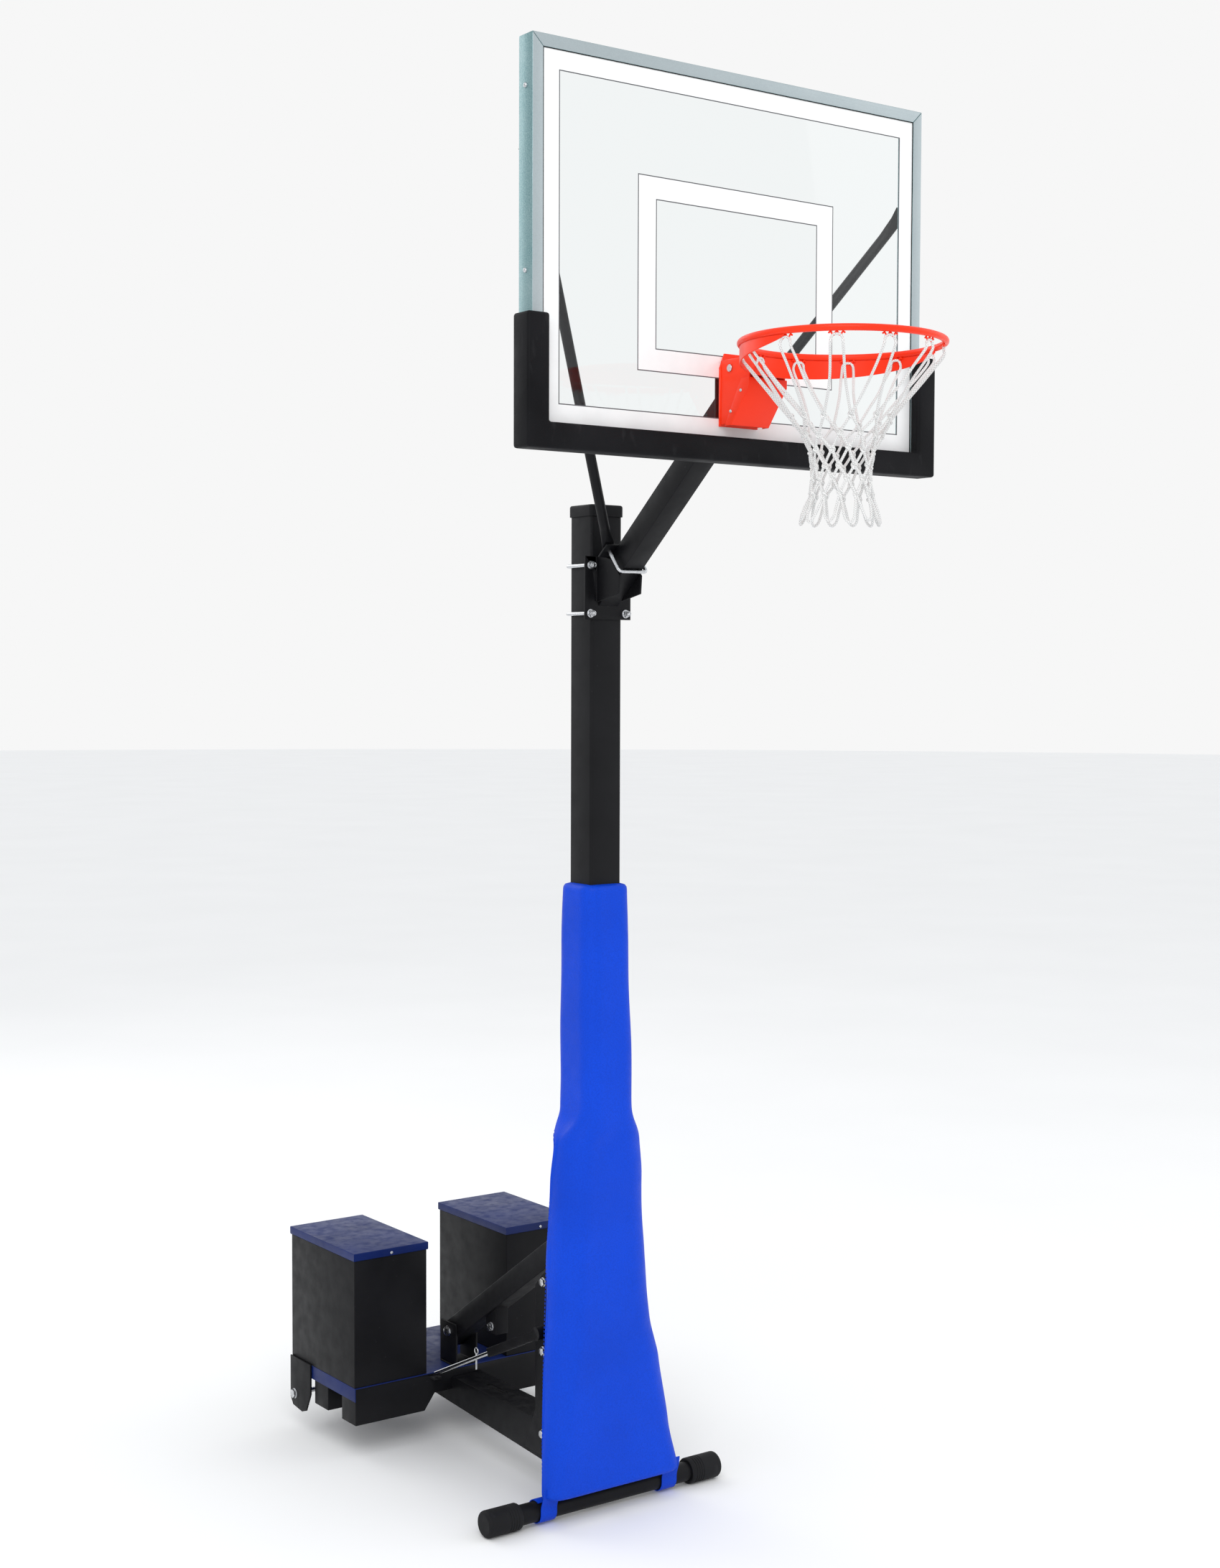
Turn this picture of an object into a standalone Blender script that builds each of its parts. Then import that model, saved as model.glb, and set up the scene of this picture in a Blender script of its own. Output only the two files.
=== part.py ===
"""Portable basketball hoop: a square mast on a wheeled steel base with two ballast boxes,
an inclined boom, a framed acrylic backboard and a breakaway rim with its net.

Metres, +Z up. The rim side is the front (-Y), the ballast is at the back (+Y).
Pieces are drawn in the mast's frame, whose origin is on the floor under the mast's centre,
and one empty moves them all so that the origin is under the middle of the whole hoop.
"""

import math

import bmesh
import bpy
from mathutils import Matrix, Vector

# ---------------------------------------------------------------- driving dimensions
GAP = 0.0003  # between pieces that touch

# backboard
BOARD_WIDTH = 1.2192
BOARD_HEIGHT = 0.915
BOARD_BOTTOM = 2.822
BOARD_FRONT_Y = -0.602
FRAME_DEPTH = 0.057
FRAME_LIP = 0.030
FRAME_WALL = 0.0025
SHEET_THICKNESS = 0.0095
PAD_THICKNESS = 0.031  # of the moulded backboard pad
PAD_DEPTH = 0.066
PAD_LEG_TOP = 3.100

# rim
RIM_HEIGHT = 3.048  # top of the ring above the floor
RIM_INNER_DIAMETER = 0.4572
RIM_TO_BOARD = 0.152
RING_ROD_RADIUS = 0.008
RING_BRACE_DEPTH = 0.046
RING_BRACE_THICKNESS = 0.004
RING_BRACE_END_ANGLE = -15.0  # degrees past the ring's side, towards the front
HOUSING_BEYOND_BOLTS = 0.016  # from the bolts to the housing's sides
HOUSING_WALL = 0.004
COVER_WALL = 0.0025
HOUSING_TOP = 3.056
HOUSING_BOTTOM = 2.878
HOUSING_BASE_DEPTH = 0.048  # of the housing at its bottom edge
HOUSING_FRONT_DEPTH = 0.116
HOUSING_NOSE_HEIGHT = 0.089  # from the bottom edge up to the end of the slanted face
HINGE_PIN_RADIUS = 0.006
HINGE_FROM_PLATE = 0.0345
HINGE_BELOW_RIM = 0.032
RING_PLATE_THICKNESS = 0.0060
SPRING_RADIUS = 0.016
SPRING_WIRE_RADIUS = 0.0025
SPRING_TURNS = 4
RIM_BOLT_RADIUS = 0.0048
RIM_BOLT_FROM_BOOM = 0.01225  # from the boom's side to the bolt's centre
RIM_BOLT_Z = (2.9050, 2.9850)
NET_LENGTH = 0.415
NET_THICKNESS = 0.003

# boom, its clamp on the mast and the two stays behind the board
BOOM_SIDE = 0.0635
BOOM_WALL = 0.0032
BOOM_ANGLE = 40.3  # degrees above the horizontal
BOOM_FOOT_Z = 2.4956  # height of the boom's centre line at the clamp plate's front
END_PLATE_THICKNESS = 0.006
END_PLATE_BEYOND_BOLTS = 0.016
END_PLATE_BELOW = 0.100
END_PLATE_ABOVE = 0.058
CLAMP_HALF_WIDTH = 0.075
CLAMP_BOTTOM = 2.418
CLAMP_HEIGHT = 0.168
CLAMP_THICKNESS = 0.006
CLAMP_BOLT_Z = (2.562, 2.434)
U_BOLT_ROD_RADIUS = 0.005
GUSSET_THICKNESS = 0.006
SADDLE_DISTANCE = 0.1155  # along the boom from the clamp plate to the U-bolt over it
SADDLE_THICKNESS = 0.006
SADDLE_HALF_WIDTH = 0.066
STAY_RADIUS = 0.0135
STAY_TAB_THICKNESS = 0.005
STAY_TAB_HALF_WIDTH = 0.017
STAY_FOOT_X = 0.052
STAY_TOP_Z = 3.478
STAY_TOP_INSET = 0.0235  # from the frame's outer edge

# mast
POST_SIDE = 0.100
POST_CORNER = 0.008
POST_WALL = 0.004
POST_TOP = 2.7205
CAP_WALL = 0.0035
CAP_HEIGHT = 0.032
SLEEVE_TOP = 1.710
SLEEVE_BOTTOM = 0.070
SLEEVE_THICKNESS = 0.024
SLEEVE_OPENS_FROM = 1.100
SLEEVE_OPEN_AT = 1.000
SLEEVE_SEAM_GAP = 0.008
SLEEVE_SLACK = 0.001  # between the mast and the sleeve's inside at the top
SLEEVE_SPREAD = 0.008  # added to that where the sleeve opens
SLEEVE_FORWARD = 0.005  # how far the sleeve hangs forward there
APRON_CORNER = 0.062
BACK_STEPS = 6  # points from the sleeve's back corner to its seam
# of the opened apron: share of its height, how far its sides stand out from the mast's sides,
# where their edges are from the mast's middle, and how far its front stands out from the mast's
APRON = (
    (0.00, 0.160, -0.078, 0.058),
    (0.15, 0.143, -0.051, 0.045),
    (0.35, 0.120, -0.0215, 0.034),
    (0.46, 0.101, 0.0025, 0.026),
    (0.65, 0.084, 0.021, 0.018),
    (0.90, 0.077, 0.009, 0.020),
    (1.00, 0.068, 0.006, 0.020),
)

# base
FOOT_TUBE_Y = -0.049
FOOT_TUBE_RADIUS = 0.027
FOOT_TUBE_WALL = 0.003
FOOT_LENGTH = 0.777
FOOT_CAP_RADIUS = 0.036
FOOT_CAP_LENGTH = 0.105
RAIL_NARROWER = 0.0  # how much narrower the rail is than the mast, on each side
RAIL_WALL = 0.005
RAIL_TOP = 0.180
RAIL_FRONT_Y = -0.076
RAIL_REAR_Y = 0.905
RAIL_REAR_DEPTH = 0.066
MAST_PLATE_THICKNESS = 0.006
MAST_PLATE_TOP = 0.610
MAST_PLATE_REAR_Y = 0.205
MAST_BOLT_Y = 0.164
MAST_BOLT_Z = {"upper": 0.580, "middle": 0.385, "lower": 0.150}
BOLT_RADIUS = 0.006
BOLT_HEAD_RADIUS = 0.0115
BOLT_HEAD_HEIGHT = 0.008
STRUT_SIDE = 0.0635
STRUT_WALL = 0.0032
STRUT_ANGLE = 33.9
STRUT_PIN = (0.700, 0.305)
STRUT_REAR_Y = 0.738
STRUT_PLATE_HALF_WIDTH = 0.045
STRUT_PLATE_HEIGHT = 0.170
LUG_THICKNESS = 0.006
LUG_LENGTH = 0.090
BEAM_HALF_LENGTH = 0.378
BEAM_BOTTOM = 0.095
BEAM_WALL = 0.004
BEAM_DEPTH = 0.082
BEAM_FRONT_Y = (0.656, 0.822)
BEAM_NOTCH_WIDE = 0.146
BEAM_NOTCH_NARROW = 0.111
BEAM_NOTCH_TOP = 0.143
DECK_THICKNESS = 0.003
DECK_TOP = 0.2065
DECK_FLANGE = 0.040
BOX_INNER_X = 0.140
BOX_OUTER_X = 0.382
BOX_FRONT_Y = 0.654
BOX_REAR_Y = 1.041
BOX_TOP = 0.5987
BOX_WALL = 0.003
LID_OVERHANG = 0.0035
LID_SKIRT = 0.020
LID_WALL = 0.0025
AXLE_Y = 1.013
AXLE_RADIUS = 0.008
AXLE_PLATE_THICKNESS = 0.006
WHEEL_RADIUS = 0.0975
WHEEL_WIDTH = 0.044
WHEEL_X = 0.170
WHEEL_HUB_RADIUS = 0.022
WHEEL_HUB_WIDTH = 0.060
LEVER_PIVOT = (0.085, 0.467)
LEVER_X = -0.1195
LEVER_ANGLE = 25.2  # degrees below the horizontal when stowed
LEVER_LENGTH = 0.612
LEVER_SOCKET_LENGTH = 0.290
LEVER_SOCKET_SIDE = 0.025
LEVER_BAR_RADIUS = 0.0065
LEVER_SHAFT_RADIUS = 0.010

# ---------------------------------------------------------------- worked-out places
FRAME_FRONT = BOARD_FRONT_Y
FRAME_REAR = BOARD_FRONT_Y + FRAME_DEPTH
BOARD_TOP = BOARD_BOTTOM + BOARD_HEIGHT
SHEET_FRONT = BOARD_FRONT_Y + FRAME_WALL + GAP
SHEET_REAR = SHEET_FRONT + SHEET_THICKNESS
RING_RADIUS = RIM_INNER_DIAMETER / 2 + RING_ROD_RADIUS
RING_CENTRE_Y = BOARD_FRONT_Y - RIM_TO_BOARD - RIM_INNER_DIAMETER / 2
RING_Z = RIM_HEIGHT - RING_ROD_RADIUS
HINGE_Y = SHEET_FRONT - GAP - 0.006 - HINGE_FROM_PLATE
HINGE_Z = RIM_HEIGHT - HINGE_BELOW_RIM
POST_HALF = POST_SIDE / 2
RAIL_HALF_WIDTH = POST_HALF - RAIL_NARROWER  # the mast plates clasp both
FOOT_TUBE_Z = FOOT_CAP_RADIUS
AXLE_Z = WHEEL_RADIUS
BEAM_TOP = DECK_TOP - DECK_THICKNESS - GAP
CLAMP_REAR = -POST_HALF - GAP
CLAMP_FRONT = CLAMP_REAR - CLAMP_THICKNESS
BOOM_HALF = BOOM_SIDE / 2
RIM_BOLT_SPACING_X = BOOM_SIDE + 2 * RIM_BOLT_FROM_BOOM
HOUSING_HALF_WIDTH = RIM_BOLT_SPACING_X / 2 + HOUSING_BEYOND_BOLTS
END_PLATE_HALF_WIDTH = RIM_BOLT_SPACING_X / 2 + END_PLATE_BEYOND_BOLTS
BOOM_END_Y = SHEET_REAR + 2 * GAP + END_PLATE_THICKNESS
FRONT_REACH = RING_CENTRE_Y - RING_RADIUS - RING_ROD_RADIUS
REAR_REACH = AXLE_Y + WHEEL_RADIUS
FRAME_SHIFT = -(FRONT_REACH + REAR_REACH) / 2

COLOURS = {
    "clear_acrylic": ((0.93, 0.96, 0.97), 0.08, 0.0),
    "aluminium": ((0.62, 0.70, 0.72), 0.38, 1.0),
    "black_foam": ((0.02, 0.02, 0.022), 0.6, 0.0),
    "black_steel": ((0.02, 0.02, 0.024), 0.42, 0.3),
    "zinc": ((0.72, 0.73, 0.74), 0.3, 1.0),
    "rim_red": ((0.90, 0.09, 0.01), 0.35, 0.0),
    "net_white": ((0.90, 0.90, 0.88), 0.8, 0.0),
    "blue_vinyl": ((0.01, 0.07, 0.72), 0.45, 0.0),
    "black_rubber": ((0.02, 0.02, 0.02), 0.7, 0.0),
    "tyre": ((0.03, 0.03, 0.03), 0.75, 0.0),
}


# ---------------------------------------------------------------- scene and objects
def clear_scene():
    for thing in list(bpy.data.objects):
        bpy.data.objects.remove(thing, do_unlink=True)


def material(name):
    """The Principled material of one finish, made once."""
    found = bpy.data.materials.get(name)
    if found:
        return found
    colour, roughness, metallic = COLOURS[name]
    made = bpy.data.materials.new(name)
    made.use_nodes = True
    shader = made.node_tree.nodes["Principled BSDF"]
    shader.inputs["Base Color"].default_value = (*colour, 1.0)
    shader.inputs["Roughness"].default_value = roughness
    shader.inputs["Metallic"].default_value = metallic
    made.diffuse_color = (*colour, 1.0)
    return made


def empty(name, place, parent=None):
    thing = bpy.data.objects.new(name, None)
    thing.empty_display_size = 0.05
    thing.location = place
    thing.parent = parent
    bpy.context.scene.collection.objects.link(thing)
    return thing


def link_mesh(name, shape, pivot):
    """An object of this bmesh under a pivot empty, which is where its origin lies."""
    offset = Vector((0, 0, 0)) if pivot.parent is None else pivot.location
    bmesh.ops.translate(shape, vec=-offset, verts=shape.verts)
    bmesh.ops.recalc_face_normals(shape, faces=shape.faces)
    mesh = bpy.data.meshes.new(name)
    shape.to_mesh(mesh)
    shape.free()
    thing = bpy.data.objects.new(name, mesh)
    thing.parent = pivot
    bpy.context.scene.collection.objects.link(thing)
    return thing


def piece(name, shape, finish, pivot, smooth=False):
    thing = link_mesh(name, shape, pivot)
    thing.data.materials.append(material(finish))
    if smooth:
        thing.data.shade_smooth()
        thing.data.set_sharp_from_angle(angle=math.radians(35))
    return thing


def combine(thing, shape, operation):
    """A Boolean with a hidden helper of this shape; operation is DIFFERENCE or UNION."""
    helper = link_mesh(f"{thing.name}_helper", shape, thing.parent)
    helper.hide_render = True
    helper.display_type = "WIRE"
    modifier = thing.modifiers.new(operation.title(), "BOOLEAN")
    modifier.operation = operation
    modifier.solver = "EXACT"
    modifier.object = helper


def drill(thing, axis, centre, radius, low, high, sides=24):
    """A round hole with room for a rod of this radius, whatever way its sides are turned."""
    room = radius / math.cos(math.pi / sides) + GAP
    combine(thing, cylinder(axis, centre, room, low, high, sides), "DIFFERENCE")


# ---------------------------------------------------------------- shapes
def ordered(axis, along, pair):
    """A 3-D point from a distance along an axis and the two other coordinates, in X, Y, Z order."""
    if axis == "X":
        return Vector((along, pair[0], pair[1]))
    if axis == "Y":
        return Vector((pair[0], along, pair[1]))
    return Vector((pair[0], pair[1], along))


def loft(sections):
    """A closed solid through rings of equally many points, with flat ends."""
    shape = bmesh.new()
    rings = [[shape.verts.new(point) for point in section] for section in sections]
    for first, second in zip(rings, rings[1:]):
        for i in range(len(first)):
            j = (i + 1) % len(first)
            shape.faces.new((first[i], first[j], second[j], second[i]))
    shape.faces.new(rings[0][::-1])
    shape.faces.new(rings[-1])
    return shape


def closed_loft(sections):
    """A ring-like solid: the sections run round and join up with the first."""
    shape = bmesh.new()
    rings = [[shape.verts.new(point) for point in section] for section in sections]
    for k, first in enumerate(rings):
        second = rings[(k + 1) % len(rings)]
        for i in range(len(first)):
            j = (i + 1) % len(first)
            shape.faces.new((first[i], first[j], second[j], second[i]))
    return shape


def prism(axis, outline, low, high):
    """An outline in the plane across an axis, extruded from low to high."""
    return loft([[ordered(axis, at, p) for p in outline] for at in (low, high)])


def box(x, y, z):
    """A box between pairs of coordinates."""
    return prism("Z", [(x[0], y[0]), (x[1], y[0]), (x[1], y[1]), (x[0], y[1])], *z)


def circle(radius, sides, centre=(0.0, 0.0)):
    turn = [2 * math.pi * i / sides for i in range(sides)]
    return [(centre[0] + radius * math.cos(a), centre[1] + radius * math.sin(a)) for a in turn]


def cylinder(axis, centre, radius, low, high, sides=24):
    return prism(axis, circle(radius, sides, centre), low, high)


def tube(axis, outer, inner, low, high):
    """An open tube between two outlines with equally many points."""
    rows = ((outer, low), (outer, high), (inner, high), (inner, low))
    return closed_loft([[ordered(axis, at, p) for p in outline] for outline, at in rows])


def cup(axis, outer, inner, rim, floor, end):
    """A vessel open at rim, with its inner floor and its outer end at these places."""
    rows = ((outer, end), (outer, rim), (inner, rim), (inner, floor))
    return loft([[ordered(axis, at, p) for p in outline] for outline, at in rows])


def rounded_square(half, corner, steps=4):
    """Points round a square with arcs for corners, anticlockwise from the front right."""
    points = []
    for k, (sx, sy) in enumerate(((1, -1), (1, 1), (-1, 1), (-1, -1))):
        start = math.radians(90 * k - 90)
        for i in range(steps + 1):
            a = start + math.radians(90) * i / steps
            x = sx * (half - corner) + corner * math.cos(a)
            y = sy * (half - corner) + corner * math.sin(a)
            points.append((x, y))
    return points


def rectangle(half_x, half_y):
    return [(half_x, -half_y), (half_x, half_y), (-half_x, half_y), (-half_x, -half_y)]


def lathe(axis, centre, profile, sides=32):
    """A closed profile of (radius, distance along the axis) turned round an axis."""
    rows = [circle(1.0, sides)[i] for i in range(sides)]
    sections = []
    for cos, sin in rows:
        ring = [(at, (centre[0] + r * cos, centre[1] + r * sin)) for r, at in profile]
        sections.append([ordered(axis, at, pair) for at, pair in ring])
    return closed_loft(sections)


def filleted(points, radius, steps=5):
    """A path with each inner corner replaced by an arc."""
    path = [Vector(points[0])]
    for before, corner, after in zip(points, points[1:], points[2:]):
        corner = Vector(corner)
        come = (Vector(before) - corner).normalized()
        leave = (Vector(after) - corner).normalized()
        half = come.angle(leave) / 2
        reach = radius / math.tan(half)
        centre = corner + (come + leave).normalized() * radius / math.sin(half)
        start = corner + come * reach - centre
        finish = corner + leave * reach - centre
        for i in range(steps + 1):
            path.append(centre + start.slerp(finish, i / steps).normalized() * radius)
    path.append(Vector(points[-1]))
    return path


def rod(path, radius, sides=12):
    """A round rod along a path, its sections kept from twisting."""
    path = [Vector(p) for p in path]
    sections = []
    side = None
    for i, point in enumerate(path):
        ahead = path[min(i + 1, len(path) - 1)] - point
        behind = point - path[max(i - 1, 0)]
        along = (ahead.normalized() + behind.normalized()).normalized()
        side = along.orthogonal() if side is None else side - along * side.dot(along)
        side.normalize()
        up = along.cross(side)
        sections.append([point + side * x + up * y for x, y in circle(radius, sides)])
    return loft(sections)


def tilted_box(centre, half, angle):
    """A box whose Y and Z are turned by an angle about X, in degrees."""
    shape = box((-half[0], half[0]), (-half[1], half[1]), (-half[2], half[2]))
    turn = Matrix.Rotation(math.radians(angle), 4, "X")
    bmesh.ops.transform(shape, matrix=Matrix.Translation(centre) @ turn, verts=shape.verts)
    return shape


def sloping_tube(near, far, half_x, half_z, wall_x, wall_z):
    """A square tube between two (Y, Z) points, with both ends cut upright."""
    rings = []
    for (y, z), grown in ((near, 0), (far, 0), (far, 1), (near, 1)):
        dx, dz = half_x - wall_x * grown, half_z - wall_z * grown
        rings.append([Vector((x, y, z + dz * s)) for x, s in ((-dx, -1), (dx, -1), (dx, 1), (-dx, 1))])
    return closed_loft(rings)


def hexagon_nut(axis, centre, radius, low, high):
    return cylinder(axis, centre, radius, low, high, 6)


def through_bolt(name, axis, centre, radius, head, low, high, pivot):
    """A bolt with its head outside low and its nut outside high."""
    shank = cylinder(axis, centre, radius, low - head[1] - 0.0005, high + head[1] + 0.003, 16)
    bolt = piece(name, shank, "zinc", pivot, smooth=True)
    for near, far in ((low - head[1], low), (high, high + head[1])):
        combine(bolt, hexagon_nut(axis, centre, head[0], near, far), "UNION")
    return bolt


# ---------------------------------------------------------------- backboard
def channel_section():
    """The frame's section as (distance in from the outer edge, distance behind the front)."""
    lip, wall, depth = FRAME_LIP, FRAME_WALL, FRAME_DEPTH
    front = [(0, 0), (lip, 0), (lip, wall), (wall, wall)]
    rear = [(wall, depth - wall), (lip, depth - wall), (lip, depth), (0, depth)]
    return front + rear


def frame_bar(name, side, pivot):
    """One mitred bar of the frame; side is top, bottom, left or right."""
    half = BOARD_WIDTH / 2
    middle = (BOARD_TOP + BOARD_BOTTOM) / 2
    tall = BOARD_HEIGHT / 2
    ends = []
    for end in (-1, 1):
        section = []
        for inward, behind in channel_section():
            y = FRAME_FRONT + behind
            if side in ("top", "bottom"):
                sign = 1 if side == "top" else -1
                place = (end * (half - inward - GAP), y, middle + sign * (tall - inward))
            else:
                sign = 1 if side == "right" else -1
                place = (sign * (half - inward), y, middle + end * (tall - inward - GAP))
            section.append(Vector(place))
        ends.append(section)
    return piece(name, loft(ends), "aluminium", pivot)


def board_pad(pivot):
    """The moulded pad: one L section that runs down, across and up again."""
    half = BOARD_WIDTH / 2
    section = [
        (-FRAME_LIP, -PAD_THICKNESS),
        (PAD_THICKNESS, -PAD_THICKNESS),
        (PAD_THICKNESS, PAD_DEPTH - PAD_THICKNESS),
        (GAP, PAD_DEPTH - PAD_THICKNESS),
        (GAP, -GAP),
        (-FRAME_LIP, -GAP),
    ]
    corners = ((-1, None), (-1, BOARD_BOTTOM), (1, BOARD_BOTTOM), (1, None))
    rings = []
    for sign, bottom in corners:
        ring = []
        for out, behind in section:
            z = PAD_LEG_TOP if bottom is None else bottom - out
            ring.append(Vector((sign * (half + out), FRAME_FRONT + behind, z)))
        rings.append(ring)
    return piece("board_pad", loft(rings), "black_foam", pivot)


def backboard(pivot):
    half = BOARD_WIDTH / 2 - FRAME_WALL - GAP
    low = BOARD_BOTTOM + FRAME_WALL + GAP
    high = BOARD_TOP - FRAME_WALL - GAP
    sheet = piece(
        "acrylic_sheet",
        box((-half, half), (SHEET_FRONT, SHEET_REAR), (low, high)),
        "clear_acrylic",
        pivot,
    )
    for side in ("top", "bottom", "left", "right"):
        frame_bar(f"frame_{side}", side, pivot)
    board_pad(pivot)
    return sheet


# ---------------------------------------------------------------- rim
def slanted_face(inset):
    """The two ends of the housing's slanted face, moved inwards, as (Y, Z)."""
    face = SHEET_FRONT - GAP
    low = Vector((face - HOUSING_BASE_DEPTH, HOUSING_BOTTOM))
    high = Vector((face - HOUSING_FRONT_DEPTH, HOUSING_BOTTOM + HOUSING_NOSE_HEIGHT))
    along = (high - low).normalized()
    inward = Vector((along.y, -along.x)) * inset
    return low + inward, high + inward, along


def rim_housing(pivot):
    face = SHEET_FRONT - GAP
    plate_rear = face
    plate_front = face - 0.006
    top = HOUSING_TOP
    half = HOUSING_HALF_WIDTH
    outline = [
        (-half, HOUSING_BOTTOM),
        (half, HOUSING_BOTTOM),
        (half, top - 0.036),
        (half - 0.014, top),
        (-half + 0.014, top),
        (-half, top - 0.036),
    ]
    bracket = piece("rim_bracket", prism("Y", outline, plate_front, plate_rear), "rim_red", pivot)
    low, high, along = slanted_face(COVER_WALL + 2 * GAP)
    start = low + along * 0.003
    high.x = slanted_face(0.0)[1].x + COVER_WALL + 2 * GAP
    cheek = [
        (plate_front + 0.002, start.y),
        (start.x, start.y),
        (high.x, high.y),
        (high.x, RIM_HEIGHT - 0.034),
        (high.x + 0.022, RIM_HEIGHT - 0.010),
        (plate_front + 0.002, RIM_HEIGHT - 0.010),
    ]
    cheek_outer = half - COVER_WALL - GAP
    for sign in (-1, 1):
        ends = sorted((sign * cheek_outer, sign * (cheek_outer - HOUSING_WALL)))
        combine(bracket, prism("X", cheek, *ends), "UNION")
    pin_centre = (HINGE_Y, HINGE_Z)
    drill(bracket, "X", pin_centre, HINGE_PIN_RADIUS, -half - 0.01, half + 0.01)
    rim_cover(pivot, half)
    head = (HINGE_PIN_RADIUS + 0.003, 0.003)
    pin = cylinder("X", pin_centre, HINGE_PIN_RADIUS, -cheek_outer - 0.004, cheek_outer + 0.004, 16)
    pin = piece("rim_hinge_pin", pin, "zinc", pivot, smooth=True)
    for sign in (-1, 1):
        ends = sorted((sign * (cheek_outer + GAP), sign * (cheek_outer + GAP + head[1])))
        combine(pin, cylinder("X", pin_centre, head[0], *ends, 16), "UNION")
    return bracket


def rim_cover(pivot, half):
    """The folded front cover: a slanted face and two side flanges over the cheeks."""
    low, high, along = slanted_face(0.0)
    flange = 0.030
    rise = HOUSING_NOSE_HEIGHT + 0.020
    outline = [
        (low.x + flange * 0.8, low.y),
        (low.x, low.y),
        (high.x, high.y),
        (high.x, HOUSING_BOTTOM + rise),
        (high.x + flange, HOUSING_BOTTOM + rise),
    ]
    cover = piece("rim_cover", prism("X", outline, -half, half), "rim_red", pivot)
    inner_low, inner_high, along = slanted_face(COVER_WALL)
    under = inner_low - along * 0.030
    far = BOARD_FRONT_Y
    hollow = [
        (far, under.y),
        (under.x, under.y),
        (high.x + COVER_WALL, inner_high.y),
        (high.x + COVER_WALL, HOUSING_BOTTOM + rise + 0.02),
        (far, HOUSING_BOTTOM + rise + 0.02),
    ]
    combine(cover, prism("X", hollow, -half + COVER_WALL, half - COVER_WALL), "DIFFERENCE")
    return cover


def rim_spring(pivot):
    """A compression spring between the back plate and the ring plate's web."""
    rear = SHEET_FRONT - GAP - 0.006 - GAP - SPRING_WIRE_RADIUS
    front = rear - 0.0495
    middle = HOUSING_BOTTOM + 0.066
    steps = 14 * SPRING_TURNS
    path = []
    for i in range(steps + 1):
        angle = 2 * math.pi * SPRING_TURNS * i / steps
        x = SPRING_RADIUS * math.cos(angle)
        z = middle + SPRING_RADIUS * math.sin(angle)
        path.append((x, rear + (front - rear) * i / steps, z))
    return piece("rim_spring", rod(path, SPRING_WIRE_RADIUS, 8), "zinc", pivot, smooth=True)


def ring_plate(pivot):
    """The hinged plate that carries the ring: a top sheet, two ears and a web for the spring."""
    cheek_inner = HOUSING_HALF_WIDTH - COVER_WALL - GAP - HOUSING_WALL
    half = cheek_inner - 0.0015
    top = RING_Z - RING_ROD_RADIUS - GAP
    bottom = top - RING_PLATE_THICKNESS
    rear = HINGE_Y + 0.012
    front = RING_CENTRE_Y + RING_RADIUS + RING_BRACE_THICKNESS / 2 + 2 * GAP
    plate = box((-half, half), (front, rear), (bottom, top))
    plate = piece("ring_plate", plate, "rim_red", pivot)
    for sign in (-1, 1):
        ends = sorted((sign * half, sign * (half - 0.005)))
        ear = box(ends, (HINGE_Y - 0.060, rear), (HINGE_Z - 0.018, top - 0.001))
        combine(plate, ear, "UNION")
    web_y = (HINGE_Y - 0.0275, HINGE_Y - 0.0225)
    combine(plate, box((-half + 0.002, half - 0.002), web_y, (HINGE_Z - 0.100, top - 0.001)), "UNION")
    drill(plate, "X", (HINGE_Y, HINGE_Z), HINGE_PIN_RADIUS, -0.1, 0.1)
    return plate


def ring(pivot):
    """The round rod of the hoop."""
    sides = 64
    sections = []
    for i in range(sides):
        a = 2 * math.pi * i / sides
        out = Vector((math.cos(a), math.sin(a), 0))
        centre = Vector((0, RING_CENTRE_Y, RING_Z)) + out * RING_RADIUS
        rows = circle(RING_ROD_RADIUS, 12)
        sections.append([centre + out * x + Vector((0, 0, y)) for x, y in rows])
    return piece("rim_ring", closed_loft(sections), "rim_red", pivot, smooth=True)


def ring_brace(pivot):
    """The deep strip under the back half of the ring, tapered to nothing at its ends."""
    steps = 36
    top = RING_Z - RING_ROD_RADIUS - GAP
    start, finish = RING_BRACE_END_ANGLE, 180 - RING_BRACE_END_ANGLE
    sections = []
    for i in range(steps + 1):
        share = i / steps
        a = math.radians(start + (finish - start) * share)
        depth = RING_BRACE_DEPTH * max(math.sin(math.pi * share) ** 0.55, 0.06)
        section = []
        for side, z in ((-0.5, top), (0.5, top), (0.5, top - depth), (-0.5, top - depth)):
            radius = RING_RADIUS + side * RING_BRACE_THICKNESS
            section.append(Vector((radius * math.cos(a), RING_CENTRE_Y + radius * math.sin(a), z)))
        sections.append(section)
    return piece("ring_brace", loft(sections), "rim_red", pivot, smooth=True)


def net(pivot):
    """The net as a plain open sleeve of its outer shape."""
    top = RING_Z - 0.005
    widest = RING_RADIUS - 0.0068
    outline = ((1.0, 0.0), (0.89, 0.15), (0.70, 0.37), (0.47, 0.62), (0.383, 0.79), (0.435, 1.0))
    profile = [(widest * r, top - NET_LENGTH * down) for r, down in outline]
    inner = [(r - NET_THICKNESS, z) for r, z in reversed(profile)]
    shape = lathe("Z", (0, RING_CENTRE_Y), profile + inner, 36)
    return piece("net", shape, "net_white", pivot, smooth=True)


# ---------------------------------------------------------------- boom
def boom_point(along, above=0.0):
    """(Y, Z) at a distance along the boom's centre line from the clamp plate, and above it."""
    a = math.radians(BOOM_ANGLE)
    y = CLAMP_FRONT - GAP - along * math.cos(a) + above * math.sin(a)
    z = BOOM_FOOT_Z + along * math.sin(a) + above * math.cos(a)
    return y, z


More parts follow.
